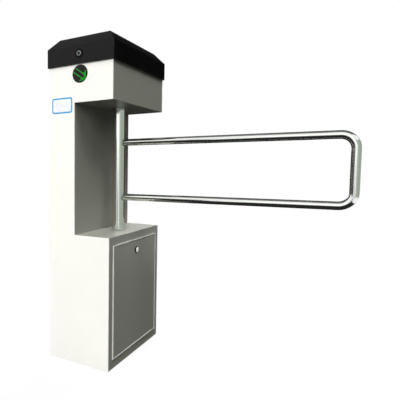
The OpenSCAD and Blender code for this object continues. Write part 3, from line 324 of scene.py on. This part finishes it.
def powder_coat(name, colour, rough, peel, specular, wear_and_edge_highlight, dusty=0.0, edge_radius=0.0012):
    """Sprayed coat: orange peel, faint cloudiness, dust low down, rubbed edges that turn towards
    primer; on the black coat the lighter rubbed edges are also a painted highlight along its
    rounded edges.
    """
    p = Paint(name)
    base = p.shaded(p.spread(p.noise(scale=5.0, detail=4.0)), colour, darker=0.975, lighter=1.015)
    speck = p.fit(p.noise(scale=1500.0, detail=1.0), band=(0.62, 0.75), onto=(0.0, 0.10))
    base = p.mix(speck, base, tint(colour, 0.86))
    if dusty:
        low_down = p.fit(p.axis("Z"), (0.0, DUST_HEIGHT), (1.0, 0.0))
        patches = p.fit(p.noise(scale=18.0, detail=5.0), band=(0.35, 0.75), onto=(0.0, dusty))
        base = p.mix(p.math("MULTIPLY", low_down, patches), base, DUST)
    rubs_and_highlight = p.fit(p.noise(scale=60.0, detail=4.0), band=(0.45, 0.7), onto=(0.0, wear_and_edge_highlight))
    primer_and_highlight = tuple((part + MID_GREY) / 2 for part in colour)
    # Rubbed edges turn towards primer; on the black coat, where this is lighter than the coat, it
    # is also painted highlight along the rounded edges
    base = p.mix(p.math("MULTIPLY", p.edge(edge_radius), rubs_and_highlight), base, primer_and_highlight)
    gloss = p.spread(p.noise(scale=14.0, detail=5.0), rough - 0.05, rough + 0.06)
    skin = p.bump(p.noise(scale=650.0, detail=2.0), strength=peel, distance=0.00025,
                  normal=p.rounded(edge_radius))
    return p.finish(base, gloss, skin, Specular_IOR_Level=specular)


def metal(name, colour, rough, spread, grain=(1, 1, 1), grain_scale=600.0, depth=0.05, stain=0.0):
    """Bare metal: fine lines along its grain, smudges, and darker stains if asked."""
    p = Paint(name)
    lines = p.noise(grain_scale, detail=3.0, place=p.stretched(grain))
    smudge = p.noise(scale=22.0, detail=5.0)
    base = p.shaded(p.spread(lines), colour, darker=0.93, lighter=1.05)
    if stain:
        base = p.mix(p.fit(smudge, band=(0.5, 0.75), onto=(0.0, stain)), base, tint(colour, 0.45))
    gloss = p.math("ADD", p.spread(smudge, rough, rough + spread),
                   p.spread(lines, 0.0, spread / 2))
    return p.finish(base, gloss, p.bump(lines, strength=depth, distance=0.0001), metallic=1.0)


def moulded(name, colour, rough, grain_scale=900.0, depth=0.08, specular=0.4, chalk=0.0):
    """Moulded plastic or rubber: fine grain, faint flow marks, and chalky bloom if asked."""
    p = Paint(name)
    base = p.shaded(p.spread(p.noise(scale=30.0, detail=4.0)), colour, darker=0.92, lighter=1.08)
    if chalk:
        bloom = p.fit(p.noise(scale=120.0, detail=5.0), band=(0.45, 0.8), onto=(0.0, chalk))
        base = p.mix(bloom, base, CHALK)
    gloss = p.spread(p.noise(scale=45.0, detail=4.0), rough - 0.06, rough + 0.08)
    skin = p.bump(p.noise(grain_scale, detail=2.0), strength=depth, distance=0.0002)
    return p.finish(base, gloss, skin, Specular_IOR_Level=specular)


def cast_iron():
    """Sand-cast and painted: coarse skin with pits."""
    p = Paint("cast_housing")
    lumps = p.noise(scale=240.0, detail=6.0)
    base = p.mix(p.fit(lumps, (0.35, 0.65)), *IRON_PAIR)
    skin = p.bump(lumps, strength=0.5, distance=0.0006, normal=p.rounded(0.0012))
    return p.finish(base, p.spread(lumps, 0.48, 0.68), skin)


def acrylic():
    """Smoked, glossy lens: nearly black with faint polishing marks."""
    p = Paint("black_acrylic")
    haze = p.noise(scale=90.0, detail=5.0)
    base = p.mix(p.spread(haze), *SMOKED_PAIR)
    skin = p.bump(haze, strength=0.02, distance=0.0002)
    return p.finish(base, p.spread(haze, 0.10, 0.17), skin, Specular_IOR_Level=0.12)


def vinyl(name, colour):
    """Smooth printed film with a faint waviness."""
    p = Paint(name)
    base = p.shaded(p.spread(p.noise(scale=60.0, detail=4.0)), colour, darker=0.96, lighter=1.02)
    gloss = p.spread(p.noise(scale=90.0, detail=4.0), 0.20, 0.32)
    skin = p.bump(p.noise(scale=240.0, detail=3.0), strength=0.05, distance=0.0001)
    return p.finish(base, gloss, skin)


# Materials of single nodes, whose zones follow the node's own box

# Height of the gearbox, which takes the top of the motor's node
GEARBOX_TALL = 0.048
# Thickness of the control board and how deep its row of connectors is
BOARD_THICK = 0.0016
CONNECTOR_DEEP = 0.009
# A zone's limit lies this far off the board's face, or off the parts on it
FACE_MARGIN = 0.0002
PART_MARGIN = 0.0005
# How far the diodes stand up, less a margin
DIODE_RISE = 0.0019
# The breaker's toggle with a margin behind it
TOGGLE_LONG = 0.0076
# From the buffers' top to just under the sleeve, and to just over it
SLEEVE_FOOT_DOWN = 0.0165
SLEEVE_TOP_DOWN = 0.0006
# Depth of what is painted on the terminals' faces, half the marker strip's height, and the
# heights between which the wire funnels lie, off the middle
TERMINAL_SKIN = 0.0008
STRIP_HALF = 0.003
FUNNEL_NEAR = 0.0045
FUNNEL_FAR = 0.0085
# Squares of the radius shares at which the lock's bright face turns to its dark rim, which is
# painted shade
RIM_BAND = (0.58, 0.66)
# Height of the plug's dome as a share of its radius
DOME_SHARE = 0.05


def zoned(name, ground, zones, rough, depth=0.08):
    """One solid made of several stuffs: zones give limits of the place and a colour."""
    p = Paint(name)
    grain = p.spread(p.noise(scale=700.0, detail=3.0))
    base = p.shaded(grain, ground, darker=0.90, lighter=1.08)
    for limits, colour in zones:
        base = p.mix(p.within(**limits), base, p.shaded(grain, colour, darker=0.92, lighter=1.06))
    gloss = p.spread(p.noise(scale=60.0, detail=4.0), rough - 0.06, rough + 0.08)
    return p.finish(base, gloss, p.bump(grain, strength=depth, distance=0.0002))


def motor_paint():
    """Dark enamel on the motor; the gearbox above it is bare cast aluminium."""
    p = Paint("motor_paint")
    grain = p.noise(scale=420.0, detail=4.0)
    gearbox = p.within(Z=(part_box("gear_motor")[1].z - GEARBOX_TALL, None))
    enamel = p.mix(p.spread(grain), *ENAMEL_PAIR)
    cast = p.mix(p.spread(grain), *ALUMINIUM_PAIR)
    skin = p.bump(grain, strength=0.25, distance=0.0004, normal=p.rounded(0.0010))
    return p.finish(p.mix(gearbox, enamel, cast), p.spread(grain, 0.34, 0.52), skin)


def control_board():
    """Green solder mask with pale tracks; relays, connectors and chip by their places."""
    p = Paint("control_board")
    tracks = p.fit(p.cells(160.0, "DISTANCE_TO_EDGE"), band=(0.02, 0.05), onto=(1.0, 0.0))
    low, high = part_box("control_board")
    face_z = low.z + BOARD_THICK + FACE_MARGIN
    relays_y = (low.y + high.y) / 2 - PART_MARGIN
    connectors_y = low.y + CONNECTOR_DEEP + PART_MARGIN
    base = p.mix(tracks, *BOARD_PAIR)
    for limits, colour in (((relays_y, None), RELAY_BLUE),
                           ((None, connectors_y), CONNECTOR_GREEN),
                           ((connectors_y, relays_y), CHIP_BLACK)):
        base = p.mix(p.within(Y=limits, Z=(face_z, None)), base, colour)
    gloss = p.spread(p.noise(scale=80.0, detail=4.0), 0.24, 0.40)
    return p.finish(base, gloss, p.bump(tracks, strength=0.2, distance=0.0001))


def lamp_boards():
    """Green boards whose raised parts are pale light-emitting diodes."""
    p = Paint("indicator_boards")
    tracks = p.fit(p.cells(220.0, "DISTANCE_TO_EDGE"), band=(0.02, 0.06), onto=(1.0, 0.0))
    diodes_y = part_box("indicator_boards")[1].y - DIODE_RISE
    diodes = p.math("GREATER_THAN", p.math("ABSOLUTE", p.axis("Y")), diodes_y)
    base = p.mix(diodes, p.mix(tracks, *LAMP_BOARD_PAIR), DIODE)
    gloss = p.spread(p.noise(scale=80.0, detail=4.0), 0.25, 0.40)
    return p.finish(base, gloss, p.bump(tracks, strength=0.2, distance=0.0001))


def breaker():
    """Pale case with a black toggle."""
    toggle_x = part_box("circuit_breaker")[1].x - TOGGLE_LONG
    return zoned("circuit_breaker", BREAKER_CASE, [({"X": (toggle_x, None)}, BREAKER_TOGGLE)],
                 rough=0.42)


def sensors():
    """Threaded nickel-plated barrels, painted darker in the thread's grooves: painted shade."""
    p = Paint("limit_sensors")
    turns = p.node("ShaderNodeTexWave", wave_type="BANDS", bands_direction="X",
                   wave_profile="TRI")
    p.feed(turns.inputs["Vector"], p.place)
    p.feed(turns.inputs["Scale"], 160.0)
    thread = turns.outputs["Fac"]
    gloss = p.spread(p.noise(scale=60.0, detail=4.0), 0.24, 0.36)
    # Darker where the thread is low: painted shade in its grooves
    return p.finish(p.mix(thread, *NICKEL_AND_GROOVE_SHADE_PAIR), gloss,
                    p.bump(thread, strength=0.6, distance=0.0004), metallic=1.0)


def buffers():
    """Rubber sleeve, with the bare steel post below it and through its top."""
    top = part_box("stop_buffers")[1].z
    zones = [({"Z": (None, top - SLEEVE_FOOT_DOWN)}, POST_STEEL),
             ({"Z": (top - SLEEVE_TOP_DOWN, None)}, POST_STEEL)]
    return zoned("stop_buffers", RUBBER, zones, rough=0.55, depth=0.2)


def terminals():
    """Grey blocks with dark wire funnels and a pale marker strip."""
    p = Paint("terminal_blocks")
    low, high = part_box("terminal_blocks")
    mid = (low.z + high.z) / 2
    face = (high.x - TERMINAL_SKIN, None)
    grain = p.spread(p.noise(scale=700.0, detail=3.0))
    strip = p.within(X=face, Z=(mid - STRIP_HALF, mid + STRIP_HALF))
    upper = p.within(X=face, Z=(mid + FUNNEL_NEAR, mid + FUNNEL_FAR))
    lower = p.within(X=face, Z=(mid - FUNNEL_FAR, mid - FUNNEL_NEAR))
    base = p.mix(strip, p.mix(grain, *TERMINAL_PAIR), MARKER_STRIP)
    base = p.mix(p.math("ADD", upper, lower, clamp=True), base, BLACK_PLASTIC)
    gloss = p.spread(p.noise(scale=60.0, detail=4.0), 0.40, 0.54)
    return p.finish(base, gloss, p.bump(grain, strength=0.08, distance=0.0002))


def square_from_axis(p, name):
    """Square of the distance from a door lock piece's axis, 1 at its rim; and its radius."""
    low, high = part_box(name)
    mid = (low + high) / 2
    radius = (high.y - low.y) / 2
    squares = []
    for letter, centre in (("Y", mid.y), ("Z", mid.z)):
        share = p.math("DIVIDE", p.math("SUBTRACT", p.axis(letter), centre), radius)
        squares.append(p.math("POWER", share, 2.0))
    return p.math("ADD", *squares), radius


def barrel_with_painted_shade_rim():
    """Bright head of the door's lock with a dark rim that is painted shade, standing for the
    shadowed groove round its face.
    """
    p = Paint("lock_bright")
    square = square_from_axis(p, "door_lock_barrel")[0]
    lines = p.noise(scale=600.0, detail=3.0)
    bright = p.mix(p.spread(lines), *BRIGHT_RING_PAIR)
    # The dark rim round the face is painted shade
    dark = p.mix(p.spread(lines), *PAINTED_SHADE_RIM_PAIR)
    base = p.mix(p.fit(square, RIM_BAND), bright, dark)
    return p.finish(base, p.spread(lines, 0.12, 0.18),
                    p.bump(lines, strength=0.05, distance=0.0001), metallic=1.0)


def domed_plug():
    """Bright plug of the door's lock with a slightly domed, brushed face."""
    p = Paint("lock_plug")
    square, radius = square_from_axis(p, "door_lock_plug")
    dome = p.math("SUBTRACT", 1.0, square)
    lines = p.noise(scale=900.0, detail=3.0, place=p.stretched((1, 0.1, 1)))
    return p.finish(p.mix(p.spread(lines), *PLUG_PAIR), p.spread(lines, 0.12, 0.20),
                    p.bump(dome, strength=1.0, distance=DOME_SHARE * radius), metallic=1.0)


def arrow_light():
    """Green diodes behind diffusing strokes: bright beads on a dimmer bar."""
    p = Paint("arrow_green")
    beads = p.fit(p.cells(520.0), band=(0.25, 0.75), onto=(1.0, 0.25))
    base = p.mix(beads, *ARROW_PAIR)
    return p.finish(base, p.fit(beads, band=(0.0, 1.0), onto=(0.45, 0.30)),
                    p.bump(beads, strength=0.3, distance=0.0002), Emission_Color=base,
                    Emission_Strength=0.35, Specular_IOR_Level=0.12)


# A node takes its own look where it has one, or else the look of its material slot

slot_looks = {
    "white_coat": powder_coat("white_coat", WHITE, rough=0.42, peel=0.10, specular=0.20,
                              wear_and_edge_highlight=0.15, dusty=0.10),
    "grey_coat": powder_coat("grey_coat", GREY, rough=0.40, peel=0.12, specular=0.34,
                             wear_and_edge_highlight=0.25, dusty=0.12),
    # The black coat's raised wear and wide edge radius also paint the highlight along the lid's
    # rounded edges
    "black_coat": powder_coat("black_coat", BLACK, rough=0.17, peel=0.12, specular=0.19,
                              wear_and_edge_highlight=0.40, edge_radius=0.0022),
    "polished_steel": metal("polished_steel", STEEL, rough=0.07, spread=0.04,
                            grain_scale=300.0, depth=0.0),
    "plated_steel": metal("plated_steel", ZINC, rough=0.30, spread=0.14, grain=(1, 1, 0.1),
                          grain_scale=500.0, depth=0.10, stain=0.25),
    "gear_steel": metal("gear_steel", GEAR_STEEL, rough=0.26, spread=0.16, grain=(1, 1, 6),
                        grain_scale=400.0, depth=0.12, stain=0.45),
    "key_brass": metal("key_brass", BRASS, rough=0.24, spread=0.10, grain=(1, 1, 0.2),
                       grain_scale=500.0, depth=0.08, stain=0.3),
    "black_rubber": moulded("black_rubber", RUBBER, rough=0.72, grain_scale=700.0, depth=0.2,
                            specular=0.3, chalk=0.05),
    "light_rubber": moulded("light_rubber", PALE_RUBBER, rough=0.50, grain_scale=700.0,
                            depth=0.15, specular=0.3, chalk=0.04),
    "white_nylon": moulded("white_nylon", NYLON, rough=0.48),
    "black_plastic": moulded("black_plastic", BLACK_PLASTIC, rough=0.52),
    "cast_housing": cast_iron(),
    "motor_paint": motor_paint(),
    "black_acrylic": acrylic(),
}
node_looks = {
    "control_board": control_board(),
    "indicator_boards": lamp_boards(),
    "lid_lock_barrel": metal("lock_satin", SATIN_STEEL, rough=0.34, spread=0.10),
    # The rosette's deep black with little sheen is partly painted shade: the dark ring round the
    # lid's lock
    "lid_lock_rosette": moulded("rosette_black_and_shade", BLACK_PLASTIC_AND_SHADE, rough=0.55,
                                grain_scale=700.0, depth=0.1, specular=0.08),
    # The plug's dark steel partly stands for the shade in the keyhole, painted shade
    "lid_lock_plug": metal("lock_dark", DARK_STEEL_AND_KEYHOLE_SHADE, rough=0.40, spread=0.10),
    "door_lock_barrel": barrel_with_painted_shade_rim(),
    "door_lock_plug": domed_plug(),
    "circuit_breaker": breaker(),
    "limit_sensors": sensors(),
    "stop_buffers": buffers(),
    "terminal_blocks": terminals(),
}


def dress_nodes():
    slot_of = {row["node"]: row["material_slot"] for row in frame["record"]["subparts"]}
    for name, node in frame["nodes"].items():
        node.data.materials.clear()
        node.data.materials.append(node_looks.get(name) or slot_looks[slot_of[name]])


dress_nodes()

# Pieces that the scene adds

# Steps of each rounded end or corner
ARC_STEPS = 8


def new_piece(name, mesh_maker, material, body, smooth=False):
    """Builds a mesh in the row frame, gives it its look and sets it on its body."""
    bm = bmesh.new()
    mesh_maker(bm)
    bmesh.ops.recalc_face_normals(bm, faces=bm.faces)
    mesh = bpy.data.meshes.new(name)
    bm.to_mesh(mesh)
    bm.free()
    for face in mesh.polygons:
        face.use_smooth = smooth
    mesh.materials.append(material)
    piece = bpy.data.objects.new(name, mesh)
    bpy.context.scene.collection.objects.link(piece)
    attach(piece, body)


def prism(bm, outline, place, thick):
    """Closed slab: outline points (u, v) are laid by place(u, v, w) from w 0 to thick."""
    low = [bm.verts.new(place(u, v, 0.0)) for u, v in outline]
    high = [bm.verts.new(place(u, v, thick)) for u, v in outline]
    bm.faces.new(low)
    bm.faces.new(high[::-1])
    count = len(outline)
    for i in range(count):
        j = (i + 1) % count
        bm.faces.new((low[i], low[j], high[j], high[i]))


def arc(centre, radius, start, sweep):
    """Points along an arc, both of its ends among them."""
    points = []
    for i in range(ARC_STEPS + 1):
        angle = start + sweep * i / ARC_STEPS
        points.append((centre[0] + radius * math.cos(angle),
                       centre[1] + radius * math.sin(angle)))
    return points


def stroke(a, b, width):
    """Outline of a straight stroke from a to b with round ends."""
    heading = math.atan2(b[1] - a[1], b[0] - a[0])
    return (arc(b, width / 2, heading - math.pi / 2, math.pi)
            + arc(a, width / 2, heading + math.pi / 2, math.pi))


def rounded_rectangle(left, right, low, high, radius):
    centres = ((right - radius, high - radius), (left + radius, high - radius),
               (left + radius, low + radius), (right - radius, low + radius))
    points = []
    for quarter, centre in enumerate(centres):
        points += arc(centre, radius, quarter * math.pi / 2, math.pi / 2)
    return points


# Arrow on both indicator lenses

# Strokes by their two ends and width, off the lens's centre, seen from where it is read
ARROW_STROKES = (
    ((-0.0144, 0.0171), (0.0166, -0.0052), 0.0021),
    ((-0.0215, 0.0057), (0.0090, -0.0153), 0.0021),
    ((0.0183, 0.0075), (0.0194, -0.0154), 0.0024),
    ((0.0194, -0.0154), (-0.0009, -0.0203), 0.0024),
    ((0.0146, 0.0020), (0.0155, -0.0118), 0.0016),
    ((0.0155, -0.0118), (0.0040, -0.0150), 0.0016),
)
STROKE_THICK = 0.0004

lens_low, lens_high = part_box("indicator_lenses")
lens_x = (lens_low.x + lens_high.x) / 2
lens_z = (lens_low.z + lens_high.z) / 2


def arrow(bm, face_y, side):
    """The strokes on one lens; side is 1 on the front and -1 on the back."""
    def place(u, v, w):
        return (lens_x + side * u, face_y - side * w, lens_z + v)

    for a, b, width in ARROW_STROKES:
        prism(bm, stroke(a, b, width), place, STROKE_THICK)


green = arrow_light()
for label, face_y, side in (("front", lens_low.y, 1), ("back", lens_high.y, -1)):
    new_piece("arrow_" + label, partial(arrow, face_y=face_y, side=side), green, "cabinet")

# Bare plate with a border, where the photograph has a sticker

PLATE_WIDE = 0.075
PLATE_TALL = 0.047
# The plate's place off the front fascia's left edge and its top
PLATE_INSET = 0.0085
PLATE_DROP = 0.107
BORDER_WIDE = 0.0044
BORDER_CORNER = 0.0075
FACE_CORNER = 0.0045
BORDER_THICK = 0.0003
FACE_THICK = 0.0005

fascia_low, fascia_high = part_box("front_fascia")
plate_left = fascia_low.x + PLATE_INSET
plate_top = fascia_high.z - PLATE_DROP


def plate(bm, inset, corner, thick):
    """Rounded slab on the fascia, this far in from the plate's outer edge."""
    def place(u, v, w):
        return (u, fascia_low.y - w, v)

    outline = rounded_rectangle(plate_left + inset, plate_left + PLATE_WIDE - inset,
                                plate_top - PLATE_TALL + inset, plate_top - inset, corner)
    prism(bm, outline, place, thick)


new_piece("plate_border", partial(plate, inset=0.0, corner=BORDER_CORNER, thick=BORDER_THICK),
          vinyl("plate_blue", PLATE_BLUE), "cabinet")
new_piece("plate_face", partial(plate, inset=BORDER_WIDE, corner=FACE_CORNER, thick=FACE_THICK),
          vinyl("plate_white", PLATE_WHITE), "cabinet")

# Weld beads where the rails enter the upright tube

RAIL_RADIUS = 0.011
BEAD_RADIUS = 0.0014
BEAD_STEPS = 96
BEAD_SIDES = 10
RIPPLES = 24
RIPPLE_SHARE = 0.10
# How far the bead's middle line lies off the rail and off the upright tube
OFF_RAIL = 0.0004
OFF_POST = 0.0003

post_low, post_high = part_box("post_tube")
arm_low, arm_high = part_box("arm_tube")
post_x = (post_low.x + post_high.x) / 2
post_radius = (post_high.x - post_low.x) / 2


def weld(bm, z):
    """Rippled bead along the curve where the rail at height z enters the upright tube."""
    rings = []
    for i in range(BEAD_STEPS):
        turn = 2 * math.pi * i / BEAD_STEPS
        out = Vector((0.0, math.cos(turn), math.sin(turn)))
        rise = (RAIL_RADIUS + OFF_RAIL) * out
        reach = math.sqrt(post_radius ** 2 - rise.y ** 2)
        away = Vector((reach, rise.y, 0.0)).normalized()
        middle = Vector((post_x + reach + OFF_POST, rise.y, z + rise.z))
        radius = BEAD_RADIUS * (1 + RIPPLE_SHARE * math.cos(RIPPLES * turn))
        ring = []
        for k in range(BEAD_SIDES):
            roll = 2 * math.pi * k / BEAD_SIDES
            step = math.cos(roll) * out + math.sin(roll) * away
            ring.append(bm.verts.new(middle + radius * step))
        rings.append(ring)
    for i, ring in enumerate(rings):
        beyond = rings[(i + 1) % BEAD_STEPS]
        for k in range(BEAD_SIDES):
            m = (k + 1) % BEAD_SIDES
            bm.faces.new((ring[k], ring[m], beyond[m], beyond[k]))


weld_look = metal("weld_steel", WELD_STEEL, rough=0.16, spread=0.10, grain_scale=500.0,
                  depth=0.10, stain=0.3)
for label, rail_z in (("low", arm_low.z + RAIL_RADIUS), ("high", arm_high.z - RAIL_RADIUS)):
    new_piece("weld_" + label, partial(weld, z=rail_z), weld_look, "arm",
              smooth=True)

# Floor and world of the studio

FLOOR_RADIUS = 14.0
FLOOR_SIDES = 64
FLOOR_Z = -0.0005
# Distances from the object between which the floor turns to plain white, and its white shares
FLOOR_FADE = (0.3, 1.6)
FLOOR_WHITE = (0.86, 1.0)
# The floor's colour where it throws light back at the object, and the world's plain light
FLOOR_BOUNCE = grey(0.04)
AMBIENT = 0.04


def around(angle, radius, z):
    """Place at a compass angle round the object."""
    return (radius * math.cos(math.radians(angle)), radius * math.sin(math.radians(angle)), z)


def stage_sheet(name, corners, faces, material):
    """A sheet of the studio, which isn't part of the object."""
    mesh = bpy.data.meshes.new(name)
    mesh.from_pydata(corners, [], faces)
    mesh.materials.append(material)
    sheet = bpy.data.objects.new(name, mesh)
    bpy.context.scene.collection.objects.link(sheet)
    return sheet


def floor_material():
    """Pale matt floor that turns to the white of the backdrop away from the object."""
    p = Paint("floor")
    grain = p.noise(scale=40.0, detail=4.0)
    seen = p.seen_share()
    base = p.mix(seen, FLOOR_BOUNCE, p.mix(p.spread(grain), *FLOOR_PAIR))
    p.finish(base, 0.9, p.bump(grain, strength=0.05, distance=0.0005), Specular_IOR_Level=0.0)
    distance = p.node("ShaderNodeVectorMath", operation="LENGTH")
    p.feed(distance.inputs[0], p.place)
    far = p.fit(distance.outputs["Value"], FLOOR_FADE, FLOOR_WHITE)
    p.show(p.blend(p.math("MULTIPLY", far, seen), p.bsdf.outputs[0],
                   p.glow("ShaderNodeEmission", PURE_WHITE, 1.0)))
    return p.material


def make_floor():
    corners = [around(360.0 * i / FLOOR_SIDES, FLOOR_RADIUS, FLOOR_Z) for i in range(FLOOR_SIDES)]
    stage_sheet("floor", corners, [range(FLOOR_SIDES)], floor_material())


def make_world():
    """White behind the object and in reflections, a plain soft level for the rest."""
    world = bpy.data.worlds.new("studio")
    world.use_nodes = True
    world.node_tree.nodes.clear()
    sky = Tree(world.node_tree)
    surface = sky.blend(sky.seen_share(), sky.glow("ShaderNodeBackground", PURE_WHITE, AMBIENT),
                        sky.glow("ShaderNodeBackground", PURE_WHITE, 1.0))
    sky.feed(sky.node("ShaderNodeOutputWorld").inputs["Surface"], surface)
    bpy.context.scene.world = world


make_floor()
make_world()

# Lamps: name, compass angle, distance, height, height aimed at, width, depth, watts

LAMPS = (
    ("main", -84, 18.0, 8.7, 0.5, 11.0, 11.0, 3180),
    ("right", -35, 5.2, 10.6, 0.5, 8.0, 6.0, 880),
    ("right_low", -5, 3.6, 0.6, 0.4, 3.0, 1.0, 2),
    ("top", 80, 3.4, 4.4, 0.4, 3.0, 3.0, 15),
    ("left", -112, 3.6, 0.3, 0.3, 1.8, 1.2, 36),
    ("left_back", 160, 3.6, 1.6, 0.5, 2.0, 2.0, 40),
    ("fill_back", 94, 3.5, 2.6, 0.6, 2.0, 2.0, 175),
)


def softbox(name, place, aim, wide, deep, watts):
    """Area lamp that no mirror shows."""
    data = bpy.data.lights.new(name, "AREA")
    data.shape = "RECTANGLE"
    data.size = wide
    data.size_y = deep
    data.energy = watts
    lamp = bpy.data.objects.new(name, data)
    bpy.context.scene.collection.objects.link(lamp)
    lamp.location = place
    lamp.rotation_euler = (Vector(aim) - Vector(place)).to_track_quat("-Z", "Y").to_euler()
    lamp.visible_glossy = False


for name, angle, distance, height, aim_z, wide, deep, watts in LAMPS:
    softbox(name, around(angle, distance, height), (0, 0, aim_z), wide, deep, watts)

# Glowing cards that only glossy surfaces see: painted reflections, bright and dark sheets set
# round the object so that polished steel and other glossy surfaces mirror them; they light nothing

# Name, least and greatest x, least and greatest y, height, colour
LEVEL_CARDS = (
    ("card_low", -2.0, 1.3, -2.6, 2.2, 0.002, grey(0.02)),
    ("card_high", -2.0, 2.0, -1.0, 0.1, 2.6, grey(0.12)),
    ("card_high_mid", -2.0, 2.0, 0.1, 0.6, 2.6, grey(0.34)),
    ("card_high_back", -2.4, 2.4, 0.6, 2.4, 2.6, grey(0.02)),
)
# Name, first and last compass angle, distance, height of foot and top, colour
ROUND_CARDS = (
    ("card_soft", -152, -106, 2.5, 1.5, 4.0, grey(1.0)),
    ("card_bright", -92, -62, 2.4, 0.05, 1.7, grey(1.35)),
    ("card_left", -168, -135, 2.4, 0.0, 0.8, (0.075, 0.070, 0.060)),
    ("card_low_left", -135, -99, 2.4, 0.0, 0.45, grey(0.05)),
    ("card_mid_left", -135, -99, 2.4, 0.45, 0.86, grey(0.14)),
    ("card_side", -50, 46, 2.4, 0.0, 1.6, (0.44, 0.49, 0.43)),
    ("card_stripe", -20, 24, 2.3, 0.0, 1.6, (0.36, 0.40, 0.35)),
    ("card_right", 46, 106, 2.4, 0.0, 1.05, (0.055, 0.043, 0.032)),
    ("card_right_high", 46, 106, 2.4, 1.05, 3.6, grey(0.012)),
    # card_glint is a painted glint: a bright sheet set only to show in the door lock's face
    ("card_glint", 57, 73, 1.6, 0.0, 0.26, grey(1.35)),
    ("card_back", 142, 192, 2.4, 0.0, 3.2, grey(0.03)),
    ("card_back_low", 106, 142, 2.4, 0.0, 0.75, grey(0.03)),
    ("card_back_high", 106, 142, 2.4, 1.9, 3.6, grey(0.012)),
)
# Cards whose painted reflection dims towards the floor: the two heights between which they do, and
# their shares
CARD_FADES = {"card_bright": ((0.3, 0.9), (0.36, 1.0))}
# A round card has a strip for each such stretch of its angle, and at least two
CARD_STRIP = 6
CARD_STRIPS_LEAST = 2


def card(name, corners, colour):
    """Sheet from pairs of corners along it, each pair the two ends of a fold. It glows only for
    mirrored rays: a painted reflection.
    """
    p = Paint(name)
    level = p.first_look()
    if name in CARD_FADES:
        level = p.math("MULTIPLY", level, p.fit(p.axis("Z"), *CARD_FADES[name]))
    p.show(p.glow("ShaderNodeEmission", colour, level))
    faces = [(i, i + 1, i + 3, i + 2) for i in range(0, len(corners) - 2, 2)]
    sheet = stage_sheet(name, corners, faces, p.material)
    sheet.visible_camera = False
    sheet.visible_diffuse = False
    sheet.visible_shadow = False
    sheet.visible_transmission = False


def round_corners(start, end, radius, foot, top):
    count = max(CARD_STRIPS_LEAST, (end - start) // CARD_STRIP)
    corners = []
    for i in range(count + 1):
        angle = start + (end - start) * i / count
        corners += [around(angle, radius, foot), around(angle, radius, top)]
    return corners


for name, x0, x1, y0, y1, height, colour in LEVEL_CARDS:
    card(name, [(x0, y0, height), (x1, y0, height), (x0, y1, height), (x1, y1, height)], colour)
for name, start, end, radius, foot, top, colour in ROUND_CARDS:
    card(name, round_corners(start, end, radius, foot, top), colour)
